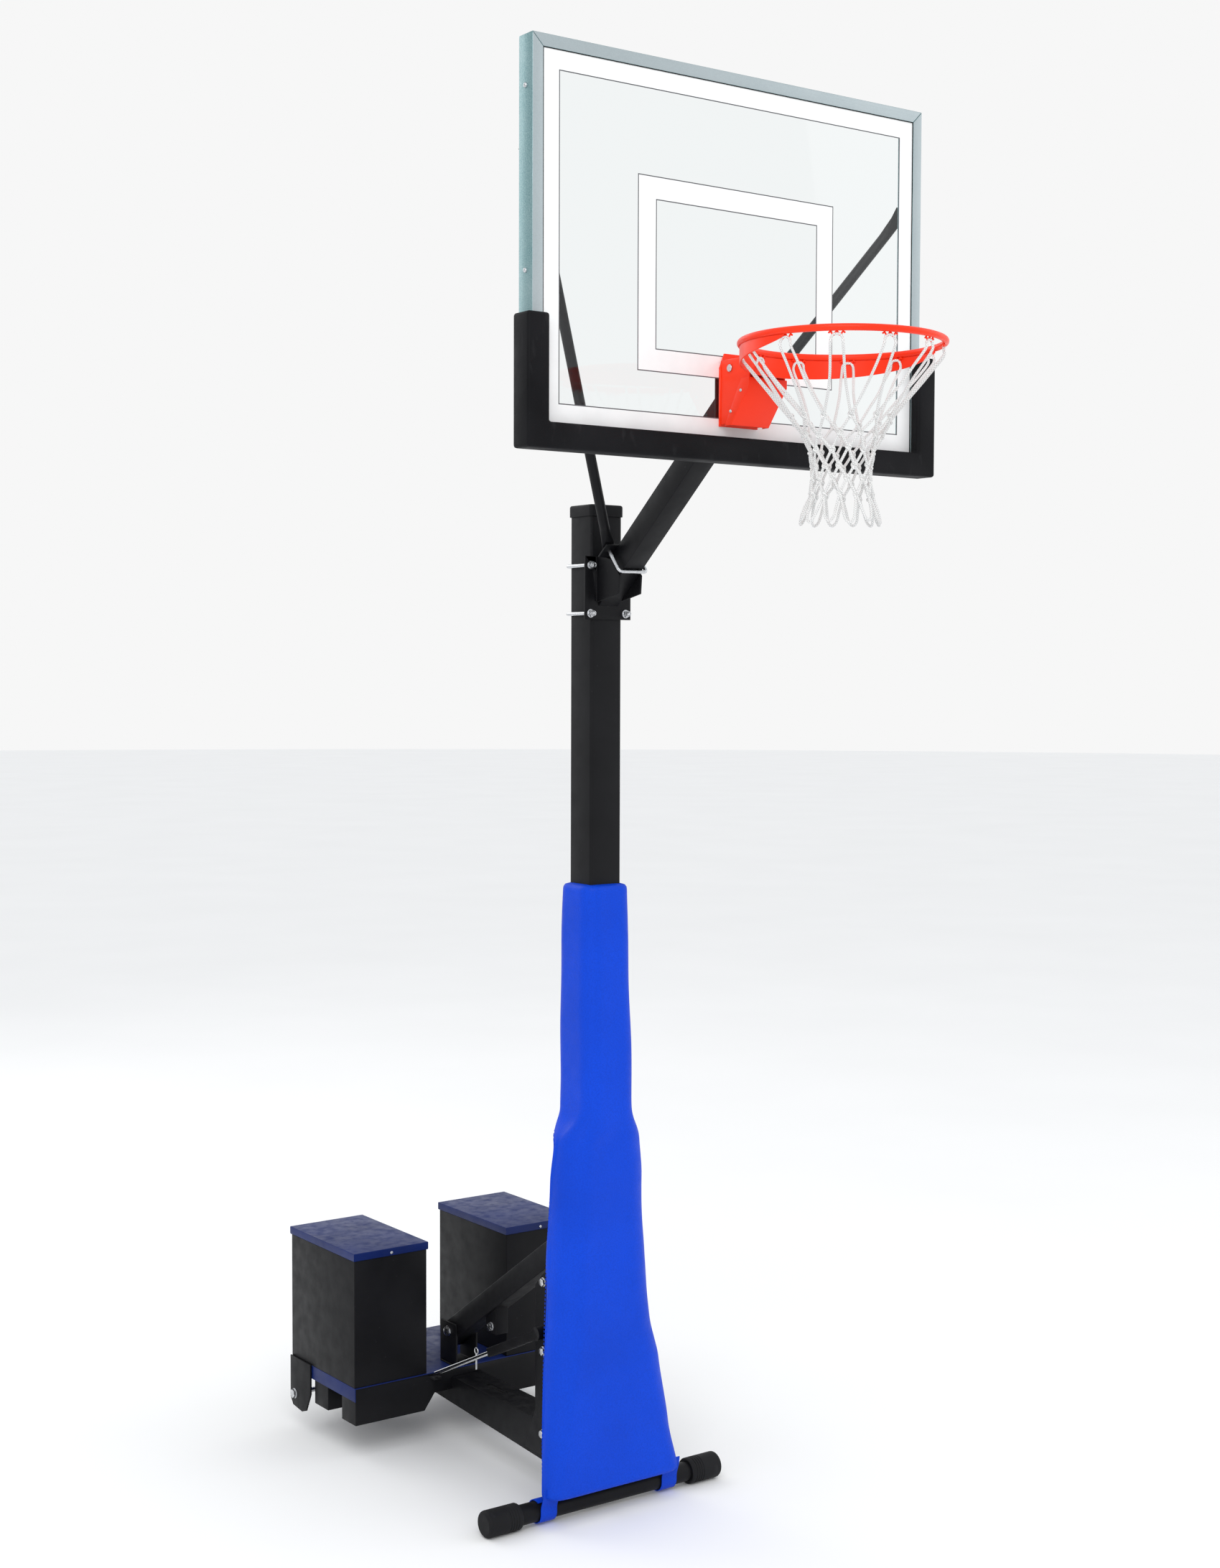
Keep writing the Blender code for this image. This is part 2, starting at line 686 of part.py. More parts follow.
def boom(pivot):
    a = math.radians(BOOM_ANGLE)
    near = boom_point(0)
    run = near[0] - BOOM_END_Y
    far = (BOOM_END_Y, near[1] + run * math.tan(a))
    upright = BOOM_HALF / math.cos(a)
    wall = BOOM_WALL / math.cos(a)
    shape = sloping_tube(near, far, BOOM_HALF, upright, BOOM_WALL, wall)
    made = piece("boom", shape, "black_steel", pivot)
    plate_y = (SHEET_REAR + GAP, SHEET_REAR + GAP + END_PLATE_THICKNESS)
    plate_z = (far[1] - END_PLATE_BELOW, far[1] + END_PLATE_ABOVE)
    plate_x = (-END_PLATE_HALF_WIDTH, END_PLATE_HALF_WIDTH)
    plate = piece("boom_end_plate", box(plate_x, plate_y, plate_z), "black_steel", pivot)
    return made, plate


def u_bolt(name, middle, legs, reach, nut_at, pivot):
    """A bent rod with a nut on each leg.

    middle is the centre of its bend, legs the unit vector along its legs, reach their length,
    and nut_at the nuts' start and end along them. The legs stand apart along X.
    """
    middle, legs = Vector(middle), Vector(legs)
    half = reach[0]
    corners = [
        middle + Vector((-half, 0, 0)) + legs * reach[1],
        middle + Vector((-half, 0, 0)),
        middle + Vector((half, 0, 0)),
        middle + Vector((half, 0, 0)) + legs * reach[1],
    ]
    path = filleted(corners, 0.010)
    bolt = piece(name, rod(path, U_BOLT_ROD_RADIUS, 12), "zinc", pivot, smooth=True)
    for sign in (-1, 1):
        foot = middle + Vector((sign * half, 0, 0))
        path = [foot + legs * nut_at[0], foot + legs * nut_at[1]]
        combine(bolt, rod(path, 0.0095, 6), "UNION")
    return bolt


def clamp(pivot):
    """The plate on the mast's front, its two gussets beside the boom, and the U-bolts."""
    plate_z = (CLAMP_BOTTOM, CLAMP_BOTTOM + CLAMP_HEIGHT)
    plate_x = (-CLAMP_HALF_WIDTH, CLAMP_HALF_WIDTH)
    plate = box(plate_x, (CLAMP_FRONT, CLAMP_REAR), plate_z)
    bracket = piece("boom_bracket", plate, "black_steel", pivot)
    inner = BOOM_HALF + GAP
    foot = CLAMP_FRONT + 0.002
    below = BOOM_HALF + 0.012
    outline = [
        (foot, CLAMP_BOTTOM + 0.046),
        boom_point(SADDLE_DISTANCE - 0.048, -below - 0.028),
        boom_point(SADDLE_DISTANCE - 0.014, -BOOM_HALF - 0.006),
        boom_point(SADDLE_DISTANCE - 0.014, BOOM_HALF - 0.012),
        (foot, CLAMP_BOTTOM + CLAMP_HEIGHT),
    ]
    for sign in (-1, 1):
        ends = sorted((sign * inner, sign * (inner + GUSSET_THICKNESS)))
        combine(bracket, prism("X", outline, *ends), "UNION")
    leg_x = POST_HALF + U_BOLT_ROD_RADIUS + 0.0025
    bend = POST_HALF + GAP + U_BOLT_ROD_RADIUS
    for name, z in zip(("upper", "lower"), CLAMP_BOLT_Z):
        for sign in (-1, 1):
            drill(bracket, "Y", (sign * leg_x, z), U_BOLT_ROD_RADIUS, CLAMP_FRONT - 0.02, CLAMP_REAR + 0.02, 12)
        nut_at = (bend - CLAMP_FRONT + GAP, bend - CLAMP_FRONT + GAP + 0.009)
        reach = (leg_x, bend - CLAMP_FRONT + 0.018)
        u_bolt(f"clamp_u_bolt_{name}", (0, bend, z), (0, -1, 0), reach, nut_at, pivot)
    return bracket


def saddle(pivot):
    """The plate over the boom's foot, held by a U-bolt round the boom."""
    a = math.radians(BOOM_ANGLE)
    up = Vector((0, math.sin(a), math.cos(a)))
    leg_x = BOOM_HALF + GAP + GUSSET_THICKNESS + U_BOLT_ROD_RADIUS + 0.001
    y, z = boom_point(SADDLE_DISTANCE, BOOM_HALF + GAP + SADDLE_THICKNESS / 2)
    half = (SADDLE_HALF_WIDTH, 0.024, SADDLE_THICKNESS / 2)
    shape = tilted_box((0, y, z), half, -BOOM_ANGLE)
    plate = piece("saddle_plate", shape, "black_steel", pivot)
    below = BOOM_HALF + GAP + U_BOLT_ROD_RADIUS
    y, z = boom_point(SADDLE_DISTANCE, -below)
    nut = below + BOOM_HALF + SADDLE_THICKNESS + 2 * GAP + STAY_TAB_THICKNESS + GAP
    reach = (leg_x, nut + 0.014)
    u_bolt("boom_u_bolt", (0, y, z), up, reach, (nut, nut + 0.008), pivot)
    for sign in (-1, 1):
        low = Vector((sign * leg_x, y, z))
        room = U_BOLT_ROD_RADIUS / math.cos(math.pi / 12) + GAP
        combine(plate, rod([low, low + up * 0.12], room, 12), "DIFFERENCE")
    return plate, leg_x


def ellipse_section(centre, wide, thick, half_width, half_thick, sides=16):
    return [centre + wide * x * half_width + thick * y * half_thick for x, y in circle(1.0, sides)]


def stay(name, sign, leg_x, pivot):
    """A round stay whose flattened ends lie on the saddle plate and on the frame's back."""
    a = math.radians(BOOM_ANGLE)
    up = Vector((0, math.sin(a), math.cos(a)))
    back = Vector((0, 1, 0))
    above = BOOM_HALF + SADDLE_THICKNESS + 2 * GAP + STAY_TAB_THICKNESS / 2
    y, z = boom_point(SADDLE_DISTANCE, above)
    foot = Vector((sign * leg_x, y, z))
    top_x = sign * (BOARD_WIDTH / 2 - STAY_TOP_INSET)
    top = Vector((top_x, FRAME_REAR + GAP + STAY_TAB_THICKNESS / 2, STAY_TOP_Z))
    along = (top - foot).normalized()
    thin = STAY_TAB_THICKNESS / 2
    ends = []
    for place, normal, direction, lift in ((foot, up, along, 0.020), (top, back, -along, 0.016)):
        lying = (direction - normal * direction.dot(normal)).normalized()
        wide = normal.cross(lying)
        start = place - lying * 0.015
        bend = place + lying * 0.020
        round_at = place + lying * 0.070 + normal * lift
        ends.append((start, bend, round_at, wide, normal))
    (f0, f1, f2, f_wide, f_up), (t0, t1, t2, t_wide, t_up) = ends
    t_wide = -t_wide
    if f_wide.dot(t_wide) < 0:
        t_wide, t_up = -t_wide, -t_up
    sections = [
        ellipse_section(f0, f_wide, f_up, STAY_TAB_HALF_WIDTH, thin),
        ellipse_section(f1, f_wide, f_up, STAY_TAB_HALF_WIDTH, thin),
    ]
    for share in (0.0, 0.5, 1.0):
        wide = f_wide.lerp(t_wide, share).normalized()
        axis = (t2 - f2).normalized()
        wide = (wide - axis * wide.dot(axis)).normalized()
        thick = axis.cross(wide)
        if thick.dot(f_up.lerp(t_up, share)) < 0:
            thick = -thick
        sections.append(ellipse_section(f2.lerp(t2, share), wide, thick, STAY_RADIUS, STAY_RADIUS))
    sections.append(ellipse_section(t1, t_wide, t_up, STAY_TAB_HALF_WIDTH, thin))
    sections.append(ellipse_section(t0, t_wide, t_up, STAY_TAB_HALF_WIDTH, thin))
    made = piece(name, loft(sections), "black_steel", pivot, smooth=True)
    room = U_BOLT_ROD_RADIUS / math.cos(math.pi / 12) + GAP
    combine(made, rod([foot - up * 0.02, foot + up * 0.02], room, 12), "DIFFERENCE")
    return made


# ---------------------------------------------------------------- mast
def mast(pivot):
    bottom = RAIL_TOP + GAP
    outer = rounded_square(POST_HALF, POST_CORNER)
    inner = rounded_square(POST_HALF - POST_WALL, POST_CORNER - POST_WALL)
    post = piece("post", tube("Z", outer, inner, bottom, POST_TOP), "black_steel", pivot, smooth=True)
    inside = POST_HALF + 2 * GAP
    outer = rounded_square(inside + CAP_WALL, POST_CORNER + CAP_WALL)
    inner = rounded_square(inside, POST_CORNER)
    floor = POST_TOP + GAP
    shape = cup("Z", outer, inner, floor + CAP_WALL - CAP_HEIGHT, floor, floor + CAP_WALL)
    piece("post_cap", shape, "black_rubber", pivot, smooth=True)
    return post


def arc(centre, radius, start, finish, steps=6):
    angles = [math.radians(start + (finish - start) * i / steps) for i in range(steps + 1)]
    return [(centre[0] + radius * math.cos(a), centre[1] + radius * math.sin(a)) for a in angles]


def wrapped_half(half, corner):
    """Right half of a line round the mast: front centre, two corners, back centre."""
    inset = half - corner
    path = [(0.0, -half)]
    path += arc((inset, -inset), corner, -90, 0)
    path += arc((inset, inset), corner, 0, 90)
    back = SLEEVE_SEAM_GAP / 2 - inset
    return path + [(inset + back * i / BACK_STEPS, half) for i in range(1, BACK_STEPS + 1)]


def open_half(width, front, edge, corner):
    """Right half of a line that ends at its side's edge, with as many points."""
    path = [(0.0, front)]
    path += arc((width - corner, front + corner), corner, -90, 0)
    start = front + corner
    steps = BACK_STEPS + 7
    return path + [(width, start + (edge - start) * i / steps) for i in range(1, steps + 1)]


def blend(first, second, share, clearance):
    """Points a share of the way between two lines, by angle and distance from the mast.

    None comes nearer to the square mast than the clearance.
    """
    line = []
    for (x0, y0), (x1, y1) in zip(first, second):
        angle = math.atan2(x0, -y0) * (1 - share) + math.atan2(x1, -y1) * share
        grown = share**1.5
        radius = math.hypot(x0, y0) * (1 - grown) + math.hypot(x1, y1) * grown
        nearest = (POST_HALF + clearance) / max(abs(math.sin(angle)), abs(math.cos(angle)))
        if 0 < share < 1:
            radius = max(radius, nearest)
        line.append((radius * math.sin(angle), -radius * math.cos(angle)))
    return line


def apron_line(z, out):
    """Right half of the apron's line at one height, moved out from its middle line."""
    height = (z - SLEEVE_BOTTOM) / (SLEEVE_OPEN_AT - SLEEVE_BOTTOM)
    height = max(0.0, min(1.0, height))
    k = max(i for i in range(len(APRON) - 1) if APRON[i][0] <= height)
    low, high = APRON[k], APRON[k + 1]
    share = (height - low[0]) / (high[0] - low[0])
    side, edge, ahead = (a + (b - a) * share for a, b in zip(low[1:], high[1:]))
    width, front = POST_HALF + side, -POST_HALF - ahead
    corner = min(APRON_CORNER, edge - front - 0.005)
    return open_half(width + out, front - out, edge, corner + out)


def sleeve_section(z):
    """The sleeve's closed outline at one height: its outer line, then its inner line back."""
    half_thick = SLEEVE_THICKNESS / 2
    grown = max(0.0, min(1.0, (SLEEVE_TOP - z) / (SLEEVE_TOP - SLEEVE_OPENS_FROM)))
    inside = POST_HALF + SLEEVE_SLACK + SLEEVE_SPREAD * grown
    forward = SLEEVE_FORWARD * grown
    share = (SLEEVE_OPENS_FROM - z) / (SLEEVE_OPENS_FROM - SLEEVE_OPEN_AT)
    share = max(0.0, min(1.0, share))
    share = share * share * (3 - 2 * share)
    round_mast = wrapped_half(inside + SLEEVE_THICKNESS, 0.043), wrapped_half(inside, 0.009)
    outer, inner = ([(x, y - forward) for x, y in line] for line in round_mast)
    wrap = SLEEVE_SLACK + SLEEVE_THICKNESS
    outer = blend(outer, apron_line(z, half_thick), share, wrap * 0.75)
    inner = blend(inner, apron_line(z, -half_thick), share, wrap * 0.32)
    lines = []
    for right in (outer, inner):
        lines.append([(-x, y) for x, y in reversed(right[1:])] + right)
    return [Vector((x, y, z)) for x, y in lines[0] + lines[1][::-1]]


def mast_pad(pivot):
    """The padded sleeve: wrapped round the mast above, opened out as an apron below."""
    spans = ((SLEEVE_TOP, SLEEVE_OPENS_FROM, 3), (SLEEVE_OPENS_FROM, SLEEVE_OPEN_AT, 12))
    levels = [SLEEVE_TOP]
    for high, low, steps in spans:
        levels += [high - (high - low) * i / steps for i in range(1, steps + 1)]
    apron_height = SLEEVE_OPEN_AT - SLEEVE_BOTTOM
    levels += [SLEEVE_BOTTOM + apron_height * row[0] for row in reversed(APRON[:-1])]
    shape = loft([sleeve_section(z) for z in levels])
    piece("post_pad", shape, "blue_vinyl", pivot, smooth=True)
    inner = circle(FOOT_TUBE_RADIUS + 2 * GAP, 32, (FOOT_TUBE_Y, FOOT_TUBE_Z))
    outer = circle(FOOT_TUBE_RADIUS + 2 * GAP + 0.0025, 32, (FOOT_TUBE_Y, FOOT_TUBE_Z))
    for name, sign in (("left", -1), ("right", 1)):
        ends = sorted((sign * 0.176, sign * 0.227))
        shape = tube("X", outer, inner, *ends)
        piece(f"pad_strap_{name}", shape, "blue_vinyl", pivot, smooth=True)


# ---------------------------------------------------------------- base
def rail_bottom(y):
    """The rail's lower edge: level over the foot tube, then rising to the back."""
    seat = FOOT_TUBE_Z + FOOT_TUBE_RADIUS + 2 * GAP
    rear = RAIL_TOP - RAIL_REAR_DEPTH
    slope = math.tan(math.radians(3.4))
    return max(seat, rear - (RAIL_REAR_Y - y) * slope)


def rail(pivot):
    seat = rail_bottom(RAIL_FRONT_Y)
    rear = rail_bottom(RAIL_REAR_Y)
    slope = math.tan(math.radians(3.4))
    knee = RAIL_REAR_Y - (rear - seat) / slope
    outline = [
        (RAIL_FRONT_Y, seat),
        (knee, seat),
        (RAIL_REAR_Y, rear),
        (RAIL_REAR_Y, RAIL_TOP),
        (RAIL_FRONT_Y, RAIL_TOP),
    ]
    half = RAIL_HALF_WIDTH
    made = piece("rail", prism("X", outline, -half, half), "black_steel", pivot)
    inside = half - RAIL_WALL
    hollow_y = (RAIL_FRONT_Y + RAIL_WALL, RAIL_REAR_Y + 0.02)
    hollow = box((-inside, inside), hollow_y, (seat - 0.05, RAIL_TOP - RAIL_WALL))
    combine(made, hollow, "DIFFERENCE")
    slot_y = (0.44, 0.54)
    combine(made, box((-0.009, 0.009), slot_y, (RAIL_TOP - 0.02, RAIL_TOP + 0.02)), "DIFFERENCE")
    low_bolt = (MAST_BOLT_Y, MAST_BOLT_Z["lower"])
    drill(made, "X", low_bolt, BOLT_RADIUS, -half - 0.01, half + 0.01)
    return made


def foot(pivot):
    centre = (FOOT_TUBE_Y, FOOT_TUBE_Z)
    wall = 0.006
    tube_end = FOOT_LENGTH / 2 - wall - GAP
    outer = circle(FOOT_TUBE_RADIUS, 32, centre)
    inner = circle(FOOT_TUBE_RADIUS - FOOT_TUBE_WALL, 32, centre)
    shape = tube("X", outer, inner, -tube_end, tube_end)
    piece("foot_tube", shape, "black_steel", pivot, smooth=True)
    outer = circle(FOOT_CAP_RADIUS, 32, centre)
    eased = circle(FOOT_CAP_RADIUS - 0.005, 32, centre)
    inner = circle(FOOT_TUBE_RADIUS + GAP, 32, centre)
    for name, sign in (("left", -1), ("right", 1)):
        end = sign * FOOT_LENGTH / 2
        rows = (
            (eased, end),
            (outer, end - sign * 0.005),
            (outer, end - sign * (FOOT_CAP_LENGTH - 0.004)),
            (eased, end - sign * FOOT_CAP_LENGTH),
            (inner, end - sign * FOOT_CAP_LENGTH),
            (inner, end - sign * wall),
        )
        rings = [[ordered("X", at, p) for p in outline] for outline, at in rows]
        piece(f"foot_cap_{name}", loft(rings), "black_rubber", pivot, smooth=True)


def mast_plates(pivot):
    """The two upright plates that hold the mast to the rail, and their through-bolts."""
    inner = max(RAIL_HALF_WIDTH, POST_HALF) + GAP
    outer = inner + MAST_PLATE_THICKNESS
    low = rail_bottom(0.0) + 0.020
    outline = [
        (-POST_HALF, low),
        (MAST_PLATE_REAR_Y + 0.050, low + 0.006),
        (MAST_PLATE_REAR_Y, RAIL_TOP + 0.030),
        (MAST_PLATE_REAR_Y, MAST_PLATE_TOP - 0.045),
        (MAST_PLATE_REAR_Y - 0.045, MAST_PLATE_TOP),
        (-POST_HALF, MAST_PLATE_TOP),
    ]
    for name, sign in (("left", -1), ("right", 1)):
        ends = sorted((sign * inner, sign * outer))
        plate = piece(f"mast_plate_{name}", prism("X", outline, *ends), "black_steel", pivot)
        for z in MAST_BOLT_Z.values():
            drill(plate, "X", (MAST_BOLT_Y, z), BOLT_RADIUS, -0.1, 0.1)
        drill(plate, "X", LEVER_PIVOT, LEVER_SHAFT_RADIUS, -0.1, 0.1)
    head = (BOLT_HEAD_RADIUS, BOLT_HEAD_HEIGHT)
    side = outer + GAP
    for name, z in MAST_BOLT_Z.items():
        through_bolt(f"mast_bolt_{name}", "X", (MAST_BOLT_Y, z), BOLT_RADIUS, head, -side, side, pivot)
    return outer


def strut(pivot):
    """The diagonal tube from the deck up to the mast's back, with its lug and pins."""
    a = math.radians(STRUT_ANGLE)
    half = STRUT_SIDE / 2
    plate_front = POST_HALF + GAP
    plate_rear = plate_front + 0.006
    pin_y, pin_z = STRUT_PIN

    def middle(y):
        return pin_z + (pin_y - y) * math.tan(a)

    near = (STRUT_REAR_Y, middle(STRUT_REAR_Y))
    far = (plate_rear - 0.002, middle(plate_rear))
    upright, wall = half / math.cos(a), STRUT_WALL / math.cos(a)
    shape = sloping_tube(near, far, half, upright, STRUT_WALL, wall)
    made = piece("diagonal_brace", shape, "black_steel", pivot)
    plate_z = (far[1] - STRUT_PLATE_HEIGHT / 2, far[1] + STRUT_PLATE_HEIGHT / 2)
    plate_x = (-STRUT_PLATE_HALF_WIDTH, STRUT_PLATE_HALF_WIDTH)
    combine(made, box(plate_x, (plate_front, plate_rear), plate_z), "UNION")
    tab_y = 0.489
    tab_z = middle(tab_y) - upright
    combine(made, box((-0.020, 0.020), (tab_y - 0.028, tab_y + 0.028), (tab_z - 0.060, tab_z + 0.022)), "UNION")
    tab_bolt = (tab_y, tab_z - 0.040)
    drill(made, "X", tab_bolt, BOLT_RADIUS, -0.1, 0.1)
    drill(made, "X", STRUT_PIN, AXLE_RADIUS, -0.1, 0.1)
    lug_inner = half + GAP
    lug_outer = lug_inner + LUG_THICKNESS
    base = DECK_TOP + GAP
    top = pin_z + 0.028
    outline = [
        (-lug_outer, base),
        (lug_outer, base),
        (lug_outer, top),
        (lug_inner, top),
        (lug_inner, base + LUG_THICKNESS),
        (-lug_inner, base + LUG_THICKNESS),
        (-lug_inner, top),
        (-lug_outer, top),
    ]
    lug_y = (pin_y - LUG_LENGTH / 2, pin_y + LUG_LENGTH / 2)
    lug = piece("brace_lug", prism("Y", outline, *lug_y), "black_steel", pivot)
    drill(lug, "X", STRUT_PIN, AXLE_RADIUS, -0.1, 0.1)
    head = (0.0135, 0.009)
    side = lug_outer + GAP
    through_bolt("brace_pin", "X", STRUT_PIN, AXLE_RADIUS, head, -side, side, pivot)
    head = (BOLT_HEAD_RADIUS, BOLT_HEAD_HEIGHT)
    through_bolt("brace_bolt", "X", tab_bolt, BOLT_RADIUS, head, -0.020 - GAP, 0.020 + GAP, pivot)


def cross_beam(name, front, pivot):
    """A channel across the rail, open below, with its ends at the rail cut away obliquely."""
    rail_side = RAIL_HALF_WIDTH + GAP
    right = [
        (BEAM_HALF_LENGTH, BEAM_TOP),
        (BEAM_HALF_LENGTH, BEAM_BOTTOM),
        (BEAM_NOTCH_WIDE, BEAM_BOTTOM),
        (BEAM_NOTCH_NARROW, BEAM_NOTCH_TOP),
        (rail_side, BEAM_NOTCH_TOP),
        (rail_side, RAIL_TOP + GAP),
    ]
    left = [(-x, z) for x, z in reversed(right)]
    rear = front + BEAM_DEPTH
    beam = piece(name, prism("Y", right + left, front, rear), "black_steel", pivot)
    inside_x = BEAM_HALF_LENGTH - BEAM_WALL
    inside = box(
        (-inside_x, inside_x),
        (front + BEAM_WALL, rear - BEAM_WALL),
        (BEAM_BOTTOM - 0.05, BEAM_TOP - BEAM_WALL),
    )
    combine(beam, inside, "DIFFERENCE")
    return beam


def lever_rest(beam):
    """The small bracket on the front beam that the stowed lever's end lies on."""
    tip = LEVER_PIVOT[0] + LEVER_LENGTH * math.cos(math.radians(LEVER_ANGLE))
    drop = LEVER_LENGTH * math.sin(math.radians(LEVER_ANGLE))
    reach = LEVER_BAR_RADIUS / math.cos(math.radians(LEVER_ANGLE))
    top = LEVER_PIVOT[1] - drop - reach - GAP
    side = (LEVER_X - 0.014, LEVER_X + 0.014)
    shelf = box(side, (tip - 0.016, BEAM_FRONT_Y[0] + 0.001), (top - 0.006, top))
    combine(beam, shelf, "UNION")


def deck(pivot):
    """The tray under the boxes, with turned-down side flanges."""
    half = BOX_OUTER_X
    low = DECK_TOP - DECK_FLANGE
    wall = DECK_THICKNESS
    outline = [
        (-half, low),
        (-half + wall, low),
        (-half + wall, DECK_TOP - wall),
        (half - wall, DECK_TOP - wall),
        (half - wall, low),
        (half, low),
        (half, DECK_TOP),
        (-half, DECK_TOP),
    ]
    shape = prism("Y", outline, BOX_FRONT_Y - 0.002, BOX_REAR_Y + 0.002)
    return piece("deck", shape, "black_steel", pivot)


def ballast(name, sign, pivot):
    """One steel ballast box and its lid."""
    middle_x = sign * (BOX_INNER_X + BOX_OUTER_X) / 2
    middle_y = (BOX_FRONT_Y + BOX_REAR_Y) / 2
    half_x = (BOX_OUTER_X - BOX_INNER_X) / 2
    half_y = (BOX_REAR_Y - BOX_FRONT_Y) / 2

    def outline(grow):
        return [(middle_x + x, middle_y + y) for x, y in rectangle(half_x + grow, half_y + grow)]

    floor = DECK_TOP + GAP
    shape = cup("Z", outline(0), outline(-BOX_WALL), BOX_TOP, floor + BOX_WALL, floor)
    piece(f"ballast_box_{name}", shape, "black_steel", pivot)
    under = BOX_TOP + GAP
    inner = outline(LID_OVERHANG - LID_WALL)
    shape = cup("Z", outline(LID_OVERHANG), inner, under - LID_SKIRT, under, under + LID_WALL)
    piece(f"box_lid_{name}", shape, "black_steel", pivot)


def axle_plate(name, sign, pivot):
    """The hanger that carries one end of the axle."""
    inner = BOX_OUTER_X + GAP
    outer = inner + AXLE_PLATE_THICKNESS
    top = DECK_TOP + 0.002
    outline = [
        (AXLE_Y - 0.098, top),
        (AXLE_Y - 0.098, 0.118),
        (AXLE_Y - 0.070, 0.062),
        (AXLE_Y - 0.045, 0.053),
        (AXLE_Y + 0.012, 0.060),
        (AXLE_Y + 0.028, 0.082),
        (AXLE_Y + 0.028, top),
    ]
    ends = sorted((sign * inner, sign * outer))
    plate = piece(f"axle_plate_{name}", prism("X", outline, *ends), "black_steel", pivot)
    drill(plate, "X", (AXLE_Y, AXLE_Z), AXLE_RADIUS, -0.5, 0.5)
    return outer


def wheel(name, sign, axle_axis):
    """A solid tyre on its hub, running on the axle."""
    bore = AXLE_RADIUS / math.cos(math.pi / 32) + GAP
    half, hub = WHEEL_WIDTH / 2, WHEEL_HUB_WIDTH / 2
    edge = 0.010
    right = [
        (bore, hub),
        (WHEEL_HUB_RADIUS, hub),
        (WHEEL_HUB_RADIUS, half - 0.012),
        (WHEEL_RADIUS - 0.030, half - 0.012),
        (WHEEL_RADIUS - 0.026, half),
        (WHEEL_RADIUS - edge, half),
        (WHEEL_RADIUS - 0.003, half - 0.003),
        (WHEEL_RADIUS, half - edge),
    ]
    profile = right + [(r, -at) for r, at in reversed(right)]
    middle = sign * WHEEL_X
    profile = [(r, middle + at) for r, at in profile]
    shape = lathe("X", (AXLE_Y, AXLE_Z), profile, 40)
    piece(f"wheel_{name}", shape, "tyre", axle_axis, smooth=True)


def lever(pivot, plate_outer):
    """The transport lever: a cross shaft, a square socket and the plated bar in it."""
    a = math.radians(-LEVER_ANGLE)
    along = Vector((0, math.cos(a), math.sin(a)))
    hub = Vector((LEVER_X, *LEVER_PIVOT))
    side = LEVER_SOCKET_SIDE / 2
    centre = hub + along * (LEVER_SOCKET_LENGTH / 2 - side)
    half = (side, LEVER_SOCKET_LENGTH / 2, side)
    arm = piece("lever_arm", tilted_box(centre, half, -LEVER_ANGLE), "black_steel", pivot)
    shaft = cylinder("X", LEVER_PIVOT, LEVER_SHAFT_RADIUS, LEVER_X, plate_outer + 0.010)
    combine(arm, shaft, "UNION")
    collar = cylinder("X", LEVER_PIVOT, 0.019, LEVER_X - side - 0.004, -plate_outer - 0.002, 24)
    combine(arm, collar, "UNION")
    bar_start = hub + along * (LEVER_SOCKET_LENGTH - 2 * side - 0.120)
    bar_end = hub + along * LEVER_LENGTH
    room = LEVER_BAR_RADIUS / math.cos(math.pi / 16) + GAP
    combine(arm, rod([bar_start - along * GAP, bar_end], room, 16), "DIFFERENCE")
    tip = bar_end - along * 0.004
    path = [bar_start, tip, bar_end]
    bar = piece("lever_bar", rod(path, LEVER_BAR_RADIUS, 16), "zinc", pivot, smooth=True)
    pin_at = hub + along * 0.362
    pin_low = pin_at + Vector((0, 0, -0.034))
    pin_high = pin_at + Vector((0, 0, 0.014))
    pin = piece("lever_pin", rod([pin_low, pin_high], 0.0025, 10), "zinc", pivot, smooth=True)
    combine(bar, rod([pin_low, pin_high + Vector((0, 0, 0.01))], 0.0025 + 2 * GAP, 10), "DIFFERENCE")
    return pin


def running_gear(root, axle_axis_left, axle_axis_right):
    outer = axle_plate("left", -1, root)
    axle_plate("right", 1, root)
    head = (0.0135, 0.009)
    side = outer + GAP
    through_bolt("axle", "X", (AXLE_Y, AXLE_Z), AXLE_RADIUS, head, -side, side, root)
    wheel("left", -1, axle_axis_left)
    wheel("right", 1, axle_axis_right)


def rim_bolts(pivot, through):
    """Four bolts through the rim's back plate, the sheet and the boom's end plate."""
    low = SHEET_FRONT - 0.006 - 2 * GAP
    high = SHEET_REAR + END_PLATE_THICKNESS + 2 * GAP
    places = [(x, z) for z in RIM_BOLT_Z for x in (-RIM_BOLT_SPACING_X / 2, RIM_BOLT_SPACING_X / 2)]
    for number, centre in enumerate(places, 1):
        through_bolt(f"rim_bolt_{number}", "Y", centre, RIM_BOLT_RADIUS, (0.0078, 0.005), low, high, pivot)
        for thing in through:
            drill(thing, "Y", centre, RIM_BOLT_RADIUS, low - 0.003, high + 0.003, 16)


